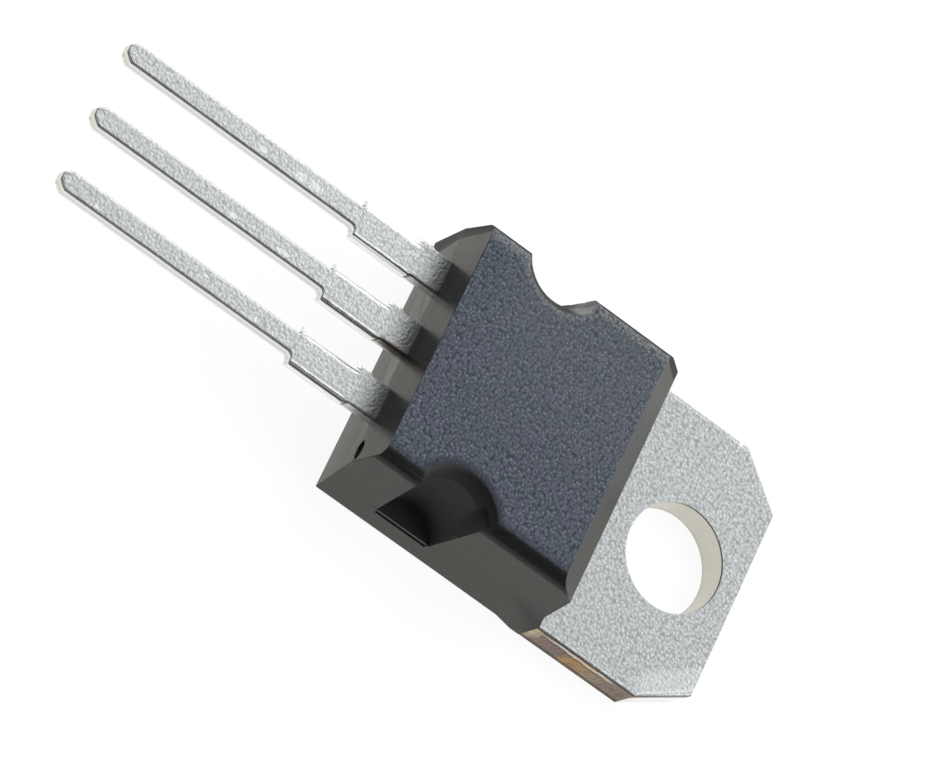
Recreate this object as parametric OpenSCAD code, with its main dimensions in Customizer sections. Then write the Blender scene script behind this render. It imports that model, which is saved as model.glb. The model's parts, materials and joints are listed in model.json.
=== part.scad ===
// Power transistor in a tab package: copper tab, moulded body, three leads.
// Millimetres. The origin is the centre of the mounting hole at the tab's
// back face. +Z points out of the front, +Y to the tab's end, and the
// leads leave towards -Y.

/* [Tab] */
// Width of the tab
tab_w = 10.08; // [9.9:0.02:10.6]
// Thickness of the tab
tab_t = 1.27; // [1.2:0.01:1.36]
// Diameter of the mounting hole
hole_d = 3.8; // [3.5:0.05:4.0]
// Hole centre to the tab's end
end_gap = 2.7; // [2.5:0.05:3.1]
// Cut corner, measured across the tab
corner_x = 1.38; // [0.8:0.02:1.8]
// Cut corner, measured along the tab
corner_y = 1.88; // [1.0:0.02:2.2]
// Sideways offset of the end edge left by the punch
end_shift = 0.15; // [0:0.01:0.2]
// Hole centre to the foot of the moulding
foot_gap = 3.4; // [3.2:0.02:3.6]

/* [Chip pad inside the moulding] */
// Width of the pad
pad_w = 7.2; // [6.8:0.05:7.3]
// Length of the pad, from the foot of the moulding
pad_l = 6.4; // [5.8:0.05:6.6]
// Overhang of the locking step along the pad's sides
lock_w = 0.2; // [0.1:0.05:0.4]
// Height of the locking step above the back face
lock_h = 0.5; // [0.3:0.05:0.7]
// Width of the cranked neck where it leaves the pad
neck_w = 2.2; // [1.7:0.1:2.4]
// Flat length of the neck before it rises
neck_flat = 0.25; // [0.1:0.05:0.4]
// Length over which the neck rises
neck_run = 1.3; // [1.1:0.05:1.4]

/* [Leads] */
// Distance between lead centres
pitch = 2.54; // [2.5:0.01:2.6]
// Height of the leads' underside above the back face
lead_z = 2.46; // [2.4:0.01:2.55]
// Thickness of the leads
lead_t = 0.5; // [0.45:0.01:0.6]
// Width of the thin part
thin_w = 0.75; // [0.64:0.01:0.88]
// Width of a lead beside the moulding
near_w = 1.3; // [1.22:0.02:1.4]
// Lead's centre line to the left edge where the tie bar was cut off
cut_left = 0.58; // [0.5:0.01:0.6]
// Lead's centre line to the right edge where the tie bar was cut off
cut_right = 0.7; // [0.66:0.01:0.76]
// Hole centre to the shoulder between thin and wide
shoulder_gap = 16.07; // [15.6:0.01:16.6]
// Hole centre to the leads' tips
tip_gap = 25.76; // [25.2:0.01:27]
// Cut at the tip, along the lead
tip_cut = 0.3; // [0.15:0.01:0.4]
// Cut at the tip, across the lead
tip_side = 0.27; // [0.1:0.01:0.3]
// Length of the slope from thin to wide
shoulder_run = 0.18; // [0.05:0.01:0.3]
// Rise of that slope across the lead
shoulder_rise = 0.12; // [0.05:0.01:0.15]
// Length from the moulding to the tie bar's cut
tie_gap = 1.2; // [1.0:0.05:1.4]
// Burr that the cut left on the left edge
burr = 0.05; // [0.02:0.01:0.08]
// Length of that burr
burr_l = 0.3; // [0.2:0.01:0.4]
// Length of a lead's neck inside the moulding, up to its post
root_l = 0.85; // [0.6:0.05:1.0]
// Length of the post
post_l = 1.3; // [1.1:0.05:1.4]
// Width of the post
post_w = 2.4; // [1.9:0.05:2.45]
// Diameter of the locking hole in a lead's neck
lock_hole_d = 0.6; // [0.4:0.05:0.7]

/* [Moulded body] */
// Width of the body at its back face
body_w = 9.71; // [9.6:0.01:9.8]
// Sideways offset of the moulding on the stamped frame
body_shift = 0.07; // [0:0.01:0.1]
// Height of the body above the tab's back face
body_h = 4.5; // [4.3:0.02:4.7]
// Length of the body at its back face
body_l = 8.8; // [8.7:0.02:9.1]
// Draft of the long sides, in degrees
side_draft = 3.6; // [2:0.1:5]
// Extra width of the left side at its back face, from the lower mould half
foot_out = 0.18; // [0:0.01:0.2]
// Draft of the lead end, in degrees
end_draft = 7.2; // [4:0.1:9]
// Draft of the tab end, in degrees
tab_draft = 5.5; // [3:0.1:7]
// Height of the bevel at the tab end
bevel_h = 1.03; // [0.7:0.01:1.2]
// Length of that bevel
bevel_l = 0.99; // [0.7:0.01:1.3]
// Radius of the long top edges
edge_r = 0.42; // [0.2:0.01:0.5]
// Foot of the tab end above the tab's front face
flare_up = 0.04; // [0.02:0.01:0.1]
// Height of the flare at that foot
flare_h = 0.42; // [0.3:0.01:0.5]
// Length of that flare
flare_l = 0.18; // [0.1:0.01:0.25]
// Length of the collar that brings the foot to the tab's width
collar_l = 0.38; // [0.25:0.01:0.45]
// Length over which the collar runs out into the sides
collar_run = 2.3; // [1.5:0.05:2.6]
// Depth at which it has run out
collar_in = 0.4; // [0.36:0.01:0.5]
// Distance of the collar's outer edge below the tab's front face
collar_drop = 0.06; // [0:0.01:0.1]
// Rise of the collar's ledge over that depth
collar_rise = 1.0; // [0.8:0.01:1.2]

/* [Side notches] */
// Hole centre to the notches' centre line
notch_gap = 9.25; // [9.0:0.01:9.5]
// Distance of a notch's axis from the body's centre plane
notch_x = 5.09; // [5.06:0.01:5.2]
// Radius at the floor
notch_r = 1.16; // [1.0:0.01:1.2]
// Height of the floor above the back face
notch_floor = 1.1; // [1.0:0.01:1.3]
// Draft of the notch wall, in degrees
notch_draft = 5.8; // [3:0.1:7]
// Radius of the notch's top edge
notch_edge = 0.38; // [0.3:0.01:0.42]
// Depth of the rim below the notch's floor
rim_d = 0.03; // [0.02:0.01:0.05]
// Height of that rim
rim_h = 0.2; // [0.1:0.01:0.3]

/* [Gate mark] */
// Distance of the mark from the body's centre plane
gate_x = 4.24; // [4.0:0.01:4.25]
// Width of the mark
gate_w = 0.8; // [0.5:0.01:0.82]
// Height of the mark
gate_h = 0.34; // [0.2:0.01:0.36]
// Depth of the mark
gate_d = 0.08; // [0.04:0.01:0.12]

/* [Chip and bonds] */
// Side of the chip
die_w = 3.6; // [3:0.1:4]
// Thickness of the chip
die_t = 0.28; // [0.2:0.01:0.36]
// Foot of the moulding to the chip's centre
die_gap = 3.1; // [2.9:0.05:3.3]
// Thickness of the solder under the chip
solder_t = 0.06; // [0.04:0.01:0.1]
// Margin of the solder around the chip
solder_rim = 0.15; // [0.1:0.01:0.25]
// Diameter of the base wire
base_wire_d = 0.25; // [0.2:0.01:0.3]
// Diameter of the emitter wire
emitter_wire_d = 0.38; // [0.3:0.01:0.42]
// Distance of each wire's first bond from the chip's centre line
bond_x = 0.9; // [0.7:0.05:1.1]
// Distance of the first bonds from the chip's centre, towards the leads
bond_y = 0.8; // [0.6:0.05:1.0]
// Bow of a wire above the straight line between its bonds
loop_h = 0.8; // [0.6:0.05:0.9]
// Length of a bond foot
bond_l = 0.6; // [0.5:0.01:0.7]

/* [Hidden] */
$fn = 96;
foot_y = -foot_gap;
pad_end = foot_y - pad_l;
shoulder_y = -shoulder_gap;
tip_y = -tip_gap;
lead_top = lead_z + lead_t;
// The mould parts halfway up the leads
part_z = lead_z + lead_t / 2;
end_y = foot_y - body_l;
ridge_y = end_y - part_z * tan(end_draft);
top_y = ridge_y + (body_h - part_z) * tan(end_draft);
exit_y = ridge_y + lead_t / 2 * tan(end_draft);
flare_z = tab_t + flare_up;
flare_top = flare_z + flare_h;
flare_y = foot_y - flare_l;
bevel_z = body_h - bevel_h;
bevel_y = flare_y - (bevel_z - flare_top) * tan(tab_draft);
side_t = tan(side_draft);
edge_z = body_h - edge_r;
edge_x = body_w / 2 - edge_z * side_t - edge_r * sqrt(1 + side_t * side_t);
tangent_x = edge_x + edge_r * cos(side_draft);
tangent_z = edge_z + edge_r * sin(side_draft);
notch_t = tan(notch_draft);
mouth_z = body_h - notch_edge;
mouth_r = notch_r + (mouth_z - notch_floor) * notch_t + notch_edge * sqrt(1 + notch_t * notch_t);
root_y = exit_y + root_l;
post_y = root_y + post_l;
tie_y = exit_y - tie_gap;
neck_start = pad_end - neck_flat;
neck_end = neck_start - neck_run;
// How far the neck's underside bends are set back, for an even thickness
neck_slope = atan((lead_top - tab_t) / neck_run);
neck_back = lead_t * tan(neck_slope / 2);
die_y = foot_y - die_gap;
die_z = tab_t + solder_t;
die_top = die_z + die_t;
post_mid_y = root_y + post_l / 2;
bond_first_y = die_y - bond_y;
over = 1;

// Flat outline of one lead, from its tip to the end of its neck
module lead_outline(end) {
  h = thin_w / 2;
  near = near_w / 2;
  polygon([
    [-h, tip_y + tip_cut],
    [-h + tip_side * 0.7, tip_y],
    [h - tip_side, tip_y],
    [h, tip_y + tip_cut],
    [h, shoulder_y - shoulder_run],
    [h + shoulder_rise, shoulder_y],
    [cut_right, shoulder_y],
    [cut_right, tie_y],
    [near, tie_y + cut_right - near],
    [near, end],
    [-near, end],
    [-near, tie_y + burr_l],
    [-near - burr, tie_y + burr_l / 5],
    [-near, tie_y],
    [-cut_left, tie_y],
    [-cut_left, shoulder_y],
    [-h - shoulder_rise, shoulder_y],
    [-h, shoulder_y - shoulder_run]
  ]);
}

// Plan of the tab and chip pad
module header_plan(pad_half) {
  w = tab_w / 2;
  polygon([
    [-pad_half, pad_end],
    [pad_half, pad_end],
    [pad_half, foot_y],
    [w, foot_y],
    [w, end_gap - corner_y],
    [w - corner_x + end_shift, end_gap],
    [-w + corner_x + end_shift, end_gap],
    [-w, end_gap - corner_y],
    [-w, foot_y],
    [-pad_half, foot_y]
  ]);
}

// Cranked neck, from the pad up to the leads' plane
module neck() {
  intersection() {
    rotate([90, 0, 90])
      linear_extrude(height = neck_w, center = true)
        polygon([
          [pad_end + over / 2, tab_t - lead_t],
          [pad_end + over / 2, tab_t],
          [neck_start, tab_t],
          [neck_end, lead_top],
          [exit_y, lead_top],
          [exit_y, lead_z],
          [neck_end - neck_back, lead_z],
          [neck_start - neck_back, tab_t - lead_t]
        ]);
    linear_extrude(height = body_h)
      polygon([
        [-neck_w / 2, pad_end + over],
        [neck_w / 2, pad_end + over],
        [neck_w / 2, neck_start],
        [near_w / 2, neck_end - neck_back],
        [near_w / 2, exit_y],
        [-near_w / 2, exit_y],
        [-near_w / 2, neck_end - neck_back],
        [-neck_w / 2, neck_start]
      ]);
  }
}

// Tab, chip pad, neck and centre lead: one stamping
module heat_tab() {
  color([0.72, 0.73, 0.74]) {
    difference() {
      union() {
        translate([0, 0, lock_h])
          linear_extrude(height = tab_t - lock_h)
            header_plan(pad_w / 2);
        linear_extrude(height = lock_h)
          header_plan(pad_w / 2 - lock_w);
      }
      translate([0, 0, -over])
        cylinder(h = tab_t + 2 * over, d = hole_d);
    }
    neck();
    translate([0, 0, lead_z])
      linear_extrude(height = lead_t)
        lead_outline(exit_y + tie_gap * 0.1);
  }
}

// One outer lead with its bond post; out is the side its post leans to
module outer_lead(out) {
  lean = (post_w - near_w) / 10 * out;
  difference() {
    translate([0, 0, lead_z])
      linear_extrude(height = lead_t)
        union() {
          lead_outline(root_y);
          translate([lean - post_w / 2, root_y])
            square([post_w, post_l]);
        }
    translate([0, exit_y + root_l / 2, lead_z - over])
      cylinder(h = lead_t + 2 * over, d = lock_hole_d);
  }
}

// Outer lead on the left, for the base
module base_lead() {
  color([0.72, 0.73, 0.74])
    translate([-pitch, 0, 0])
      outer_lead(-1);
}

// Outer lead on the right, for the emitter
module emitter_lead() {
  color([0.72, 0.73, 0.74])
    translate([pitch, 0, 0])
      outer_lead(1);
}

// Solder layer between pad and chip
module die_solder() {
  s = die_w + 2 * solder_rim;
  color([0.62, 0.63, 0.66])
    translate([-s / 2, die_y - s / 2, tab_t])
      cube([s, s, solder_t]);
}

// Transistor chip
module silicon_die() {
  color([0.32, 0.33, 0.38])
    translate([-die_w / 2, die_y - die_w / 2, die_z])
      cube([die_w, die_w, die_t]);
}

// Bond wire from the chip to a post; side is -1 for left, 1 for right
module bond_wire(side, d) {
  first = [side * bond_x, bond_first_y, die_top];
  last = [side * pitch, post_mid_y, lead_top];
  across = last[0] - first[0];
  along = last[1] - first[1];
  span = norm([across, along]);
  climb = last[2] - first[2];
  turn = atan2(along, across);
  chord = norm([span, climb]);
  tilt = atan2(climb, span);
  bend_r = (chord * chord / 4 + loop_h * loop_h) / (2 * loop_h);
  half = asin(chord / 2 / bend_r);
  drop = bend_r - loop_h;
  translate([first[0], first[1], first[2] + d * 0.55])
    rotate([0, 0, turn])
      translate([span / 2 + drop * sin(tilt), 0, climb / 2 - drop * cos(tilt)])
        rotate([90, 0, 0])
          rotate([0, 0, tilt + 90 - half])
            rotate_extrude(angle = 2 * half)
              translate([bend_r, 0])
                circle(d = d);
  for (bond = [first, last])
    translate(bond)
      rotate([0, 0, turn])
        translate([-bond_l / 2, -d * 0.6, 0])
          cube([bond_l, d * 1.2, d * 0.6]);
}

// Base bond wire
module base_wire() {
  color([0.84, 0.84, 0.85])
    bond_wire(-1, base_wire_d);
}

// Emitter bond wire
module emitter_wire() {
  color([0.84, 0.84, 0.85])
    bond_wire(1, emitter_wire_d);
}

// Body seen from its side: lead end with its ridge, top, bevel, tab end
module body_side_view() {
  polygon([
    [end_y, 0],
    [ridge_y, part_z],
    [top_y, body_h],
    [bevel_y - bevel_l, body_h],
    [bevel_y, bevel_z],
    [flare_y, flare_top],
    [foot_y, flare_z],
    [foot_y, 0]
  ]);
}

// Body seen from its end: drafted sides and rounded top edges
module body_end_view() {
  w = body_w / 2;
  polygon([
    [-w - foot_out, 0],
    [w, 0],
    [tangent_x, tangent_z],
    [edge_x, edge_z],
    [edge_x, body_h],
    [-edge_x, body_h],
    [-edge_x, edge_z],
    [-tangent_x, tangent_z],
    [-w + part_z * side_t, part_z]
  ]);
  for (side = [-1, 1])
    translate([side * edge_x, edge_z])
      circle(r = edge_r);
}

// Foot collar that brings the moulding out to the tab's shoulders
module collar() {
  w = tab_w / 2;
  ledge_z = tab_t - collar_drop;
  run_y = foot_y - collar_l;
  intersection() {
    translate([0, foot_y + over, 0])
      rotate([90, 0, 0])
        linear_extrude(height = collar_l + collar_run + over)
          polygon([
            [-w, 0],
            [w, 0],
            [w, ledge_z],
            [w - collar_in, ledge_z + collar_rise],
            [-w + collar_in, ledge_z + collar_rise],
            [-w, ledge_z]
          ]);
    linear_extrude(height = body_h)
      polygon([
        [-w, foot_y + over],
        [w, foot_y + over],
        [w, run_y],
        [w - collar_in, run_y - collar_run],
        [-w + collar_in, run_y - collar_run],
        [-w, run_y]
      ]);
  }
}

// Tool that cuts one side notch, with a rounded upper edge
module notch_cutter() {
  rotate_extrude()
    difference() {
      polygon([
        [0, notch_floor],
        [notch_r, notch_floor],
        [mouth_r - notch_edge * cos(notch_draft), mouth_z + notch_edge * sin(notch_draft)],
        [mouth_r, body_h],
        [mouth_r, body_h + over],
        [0, body_h + over]
      ]);
      translate([mouth_r, mouth_z])
        circle(r = notch_edge);
    }
}

// Shallow rim in the side face below a notch's floor; out is the extra width there
module rim_cutter(out) {
  face_x = body_w / 2 - notch_floor * side_t + out * (1 - notch_floor / part_z);
  half = sqrt(notch_r * notch_r - pow(notch_x - face_x, 2)) - 2 * rim_d;
  translate([face_x - rim_d, -half, notch_floor - rim_h])
    cube([over, 2 * half, rim_h + over / 4]);
}

// Lens-shaped mark left by the broken gate, on the face above the ridge
module gate_cutter() {
  reach = (pow(gate_w / 2, 2) + pow(gate_h / 2, 2)) / gate_h;
  translate([gate_x, ridge_y, part_z])
    rotate([90 - end_draft, 0, 0])
      translate([0, gate_h / 2, -gate_d])
        linear_extrude(height = gate_d + over)
          intersection() {
            translate([0, reach - gate_h / 2])
              circle(r = reach);
            translate([0, gate_h / 2 - reach])
              circle(r = reach);
          }
}

// Outside of the moulding
module body_shape() {
  difference() {
    intersection() {
      rotate([90, 0, 90])
        linear_extrude(height = tab_w + over, center = true)
          body_side_view();
      union() {
        translate([body_shift, foot_y + over, 0])
          rotate([90, 0, 0])
            linear_extrude(height = foot_y - ridge_y + 2 * over)
              body_end_view();
        collar();
      }
    }
    translate([body_shift, 0, 0]) {
      for (side = [0, 1])
        mirror([side, 0, 0]) {
          translate([notch_x, -notch_gap, 0])
            notch_cutter();
          translate([0, -notch_gap, 0])
            rim_cutter(side * foot_out);
        }
      gate_cutter();
    }
  }
}

// Moulded body, closed tightly around everything inside it
module moulded_body() {
  color([0.20, 0.21, 0.22])
    difference() {
      body_shape();
      heat_tab();
      base_lead();
      emitter_lead();
      die_solder();
      silicon_die();
      base_wire();
      emitter_wire();
    }
}

heat_tab();
base_lead();
emitter_lead();
die_solder();
silicon_die();
base_wire();
emitter_wire();
moulded_body();
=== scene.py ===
"""Looks of a three-lead power transistor: plated copper tab and leads in a moulded body.

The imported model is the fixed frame. The stamped parts get rolled edges, cut ridges
and a matt tin finish, the moulding gets broken edges and its spark-eroded texture,
and the studio is a white table under a plain soft light. Sizes are in millimetres,
apart from the studio's, and every finished mesh is in metres.
"""
import json
import logging
import math
from dataclasses import dataclass, field
from enum import Enum
from typing import Any, Callable, Iterable, Sequence

import bmesh
import bpy
from mathutils import Matrix, Vector

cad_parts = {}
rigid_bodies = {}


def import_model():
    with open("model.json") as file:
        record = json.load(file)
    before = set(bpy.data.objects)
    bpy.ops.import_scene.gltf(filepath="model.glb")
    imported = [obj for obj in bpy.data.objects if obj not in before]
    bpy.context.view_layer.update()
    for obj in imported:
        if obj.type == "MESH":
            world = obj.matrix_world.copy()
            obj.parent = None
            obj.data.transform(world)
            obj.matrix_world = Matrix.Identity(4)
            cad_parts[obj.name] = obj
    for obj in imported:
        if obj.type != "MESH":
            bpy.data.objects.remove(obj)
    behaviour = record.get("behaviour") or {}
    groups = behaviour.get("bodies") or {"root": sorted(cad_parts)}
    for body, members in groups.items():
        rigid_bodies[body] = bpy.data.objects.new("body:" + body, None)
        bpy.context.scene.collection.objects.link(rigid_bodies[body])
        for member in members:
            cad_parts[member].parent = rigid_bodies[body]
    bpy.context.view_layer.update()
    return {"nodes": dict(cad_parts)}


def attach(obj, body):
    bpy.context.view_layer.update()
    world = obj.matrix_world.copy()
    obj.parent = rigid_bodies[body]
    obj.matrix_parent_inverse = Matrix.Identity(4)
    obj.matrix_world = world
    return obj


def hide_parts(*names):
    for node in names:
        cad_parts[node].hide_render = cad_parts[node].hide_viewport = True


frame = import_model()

MM = 0.001
MM_PER_METRE = 1000.0
ROOT = "root"
LOG = logging.getLogger("transistor")

# Main sizes in millimetres, which the pieces and their finishes share
PITCH = 2.54
LEAD_LOW, LEAD_HIGH = 2.46, 2.96
SHOULDER_Y = -16.07
# Inside the moulding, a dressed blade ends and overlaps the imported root, which starts at the split
BLADE_END_Y = -12.3
SPLIT_Y = -12.35
TAB_FOOT_Y = -3.4
TAB_FRONT = 1.27
TAB_HALF = 5.04
SHEAR_INSET = 0.012
BODY_TOP = 4.5
NOTCH_Y = -9.25

Vec3 = tuple[float, float, float]
Colour = tuple[float, float, float, float]
# From, to and, where they aren't 0 and 1, the results at the two ends
Ramp = tuple[float, ...]
Socket = bpy.types.NodeSocket


class Kind(Enum):
    """Kinds of node-group socket."""

    VALUE = "NodeSocketFloat"
    VECTOR = "NodeSocketVector"
    WHOLE = "NodeSocketInt"
    GEOMETRY = "NodeSocketGeometry"
    MATERIAL = "NodeSocketMaterial"


def linear(red: float, green: float, blue: float) -> Colour:
    """Turns a colour as seen on a screen, 0 to 255, into Blender's linear values.

    Args:
        red: Red, 0 to 255.
        green: Green, 0 to 255.
        blue: Blue, 0 to 255.

    Returns:
        The linear colour with full alpha.
    """
    def one(value: float) -> float:
        """Linear value of one channel."""
        part = value / 255.0
        return part / 12.92 if part <= 0.04045 else ((part + 0.055) / 1.055) ** 2.4

    return (one(red), one(green), one(blue), 1.0)


# --------------------------------------------------------------------------
# Node building
# --------------------------------------------------------------------------


class Graph:
    """Short calls that fill one node tree."""

    def __init__(self, tree: bpy.types.NodeTree) -> None:
        """Keeps the tree to fill.

        Args:
            tree: Any shader or geometry node tree.
        """
        self.tree = tree

    def add(self, kind: str, inputs: dict[Any, Any] | None = None, **settings: Any) -> bpy.types.Node:
        """Adds a node, sets its settings and fills its inputs.

        Args:
            kind: The node's type name.
            inputs: Socket name or index to a value or to another node's socket.
            **settings: The node's own properties.

        Returns:
            The new node.
        """
        node = self.tree.nodes.new(kind)
        for name, value in settings.items():
            setattr(node, name, value)
        for key, value in (inputs or {}).items():
            self.feed(node.inputs[key], value)
        return node

    def feed(self, target: Socket, value: Any) -> None:
        """Links a socket to target, or sets target's own value.

        Args:
            target: The input to fill.
            value: A socket or a plain value.
        """
        if isinstance(value, bpy.types.NodeSocket):
            self.tree.links.new(value, target)
        else:
            target.default_value = value

    def math(
        self, operation: str, first: Any, second: Any = 0.0, third: Any = 0.0, clamp: bool = False,
    ) -> Socket:
        """Adds a Math node and returns its output.

        Args:
            operation: The node's operation.
            first: First value or socket.
            second: Second value or socket.
            third: Third value or socket.
            clamp: Whether the result is held between 0 and 1.

        Returns:
            The result socket.
        """
        inputs = {0: first, 1: second, 2: third}
        return self.add("ShaderNodeMath", inputs, operation=operation, use_clamp=clamp).outputs[0]

    def _chain(self, operation: str, values: Sequence[Any]) -> Socket:
        """Joins values from left to right by one operation.

        Args:
            operation: The Math node's operation.
            values: Two or more values or sockets.

        Returns:
            The result socket.
        """
        result = values[0]
        for value in values[1:]:
            result = self.math(operation, result, value)
        return result

    def times(self, *values: Any) -> Socket:
        """Multiplies values from left to right."""
        return self._chain("MULTIPLY", values)

    def plus(self, *values: Any) -> Socket:
        """Adds values from left to right."""
        return self._chain("ADD", values)

    def minus(self, *values: Any) -> Socket:
        """Takes the later values from the first."""
        return self._chain("SUBTRACT", values)

    def most(self, *values: Any) -> Socket:
        """Gives the largest of several values."""
        return self._chain("MAXIMUM", values)

    def line(self, value: Any, slope: Any, start: Any, clamp: bool = False) -> Socket:
        """Gives a value times a slope plus a start.

        Args:
            value: Value or socket.
            slope: What it is multiplied by.
            start: What is added.
            clamp: Whether the result is held between 0 and 1.

        Returns:
            The result socket.
        """
        return self.math("MULTIPLY_ADD", value, slope, start, clamp)

    def vector(self, operation: str, first: Any, second: Any = (0.0, 0.0, 0.0)) -> bpy.types.Node:
        """Adds a Vector Math node.

        Args:
            operation: The node's operation.
            first: First vector or socket.
            second: Second vector or socket.

        Returns:
            The node, because some operations put out a value and others a vector.
        """
        return self.add("ShaderNodeVectorMath", {0: first, 1: second}, operation=operation)

    def scaled(self, vector: Any, factor: Any) -> Socket:
        """Returns a vector times a number.

        Args:
            vector: Vector or socket.
            factor: Number or socket.

        Returns:
            The scaled vector.
        """
        return self.add("ShaderNodeVectorMath", {0: vector, "Scale": factor}, operation="SCALE").outputs[0]

    def ramp(self, value: Any, low: float, high: float, start: float = 0.0, end: float = 1.0) -> Socket:
        """Maps a value smoothly from one range to another, held at the ends.

        Args:
            value: Value or socket.
            low: Where the ramp begins.
            high: Where the ramp ends.
            start: Result at or before low.
            end: Result at or after high.

        Returns:
            The mapped value.
        """
        inputs = {0: value, 1: low, 2: high, 3: start, 4: end}
        return self.add("ShaderNodeMapRange", inputs, interpolation_type="SMOOTHSTEP").outputs[0]

    def mix(self, factor: Any, first: Any, second: Any) -> Socket:
        """Mixes two colours.

        Args:
            factor: 0 gives the first, 1 the second.
            first: First colour or socket.
            second: Second colour or socket.

        Returns:
            The mixed colour.
        """
        return self.add("ShaderNodeMix", {0: factor, 6: first, 7: second}, data_type="RGBA").outputs[2]

    def blend(self, factor: Any, first: Any, second: Any) -> Socket:
        """Mixes two values.

        Args:
            factor: 0 gives the first, 1 the second.
            first: First value or socket.
            second: Second value or socket.

        Returns:
            The mixed value.
        """
        return self.add("ShaderNodeMix", {0: factor, 2: first, 3: second}, data_type="FLOAT").outputs[0]

    def noise(self, vector: Any, scale: Any, detail: float = 2.0, rough: float = 0.5) -> Socket:
        """Adds a noise texture.

        Args:
            vector: Where the noise is read.
            scale: How many waves it has in a millimetre.
            detail: Octaves.
            rough: Weight of the finer octaves.

        Returns:
            The noise value, about 0.3 to 0.7.
        """
        inputs = {"Vector": vector, "Scale": scale, "Detail": detail, "Roughness": rough}
        return self.add("ShaderNodeTexNoise", inputs).outputs[0]

    def wander(self, vector: Any, scale: float, detail: float, rough: float, reach: Any) -> Socket:
        """Gives a noise that swings to both sides of zero.

        Args:
            vector: Where the noise is read.
            scale: How many waves it has in a millimetre.
            detail: Octaves.
            rough: Weight of the finer octaves.
            reach: Value or socket that the noise is multiplied by.

        Returns:
            The value, within about a quarter of the reach.
        """
        return self.times(self.minus(self.noise(vector, scale, detail, rough), 0.5), reach)

    def stretched(self, vector: Any, factors: Any) -> Socket:
        """Gives a place with each axis multiplied by its own factor."""
        return self.vector("MULTIPLY", vector, factors).outputs[0]

    def distance(self, vector: Any, centre: Any) -> Socket:
        """Gives how far a place is from a centre."""
        return self.vector("LENGTH", self.vector("SUBTRACT", vector, centre).outputs[0]).outputs["Value"]

    def parts(self, vector: Any) -> tuple[Socket, Socket, Socket]:
        """Splits a vector.

        Args:
            vector: The vector's socket.

        Returns:
            Its X, Y and Z.
        """
        return tuple(self.add("ShaderNodeSeparateXYZ", {0: vector}).outputs[:3])

    def group(self, tree: bpy.types.NodeTree, inputs: dict[str, Any]) -> bpy.types.Node:
        """Places a shader node group.

        Args:
            tree: The group's tree.
            inputs: Input name to value or socket.

        Returns:
            The group node.
        """
        return self.add("ShaderNodeGroup", inputs, node_tree=tree)


def new_group(
    name: str, inputs: dict[str, tuple[Kind, Any]], outputs: dict[str, Kind],
) -> tuple[Graph, bpy.types.Node, bpy.types.Node]:
    """Starts a shader node group with named sockets.

    Args:
        name: The group's name.
        inputs: Input name to its kind and default.
        outputs: Output name to its kind.

    Returns:
        The graph, the group's input node and its output node.
    """
    tree = bpy.data.node_groups.new(name, "ShaderNodeTree")
    for label, (kind, default) in inputs.items():
        socket = tree.interface.new_socket(label, in_out="INPUT", socket_type=kind.value)
        socket.default_value = default
    for label, kind in outputs.items():
        tree.interface.new_socket(label, in_out="OUTPUT", socket_type=kind.value)
    graph = Graph(tree)
    return graph, tree.nodes.new("NodeGroupInput"), tree.nodes.new("NodeGroupOutput")


# --------------------------------------------------------------------------
# Shared shader effects
# --------------------------------------------------------------------------


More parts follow.
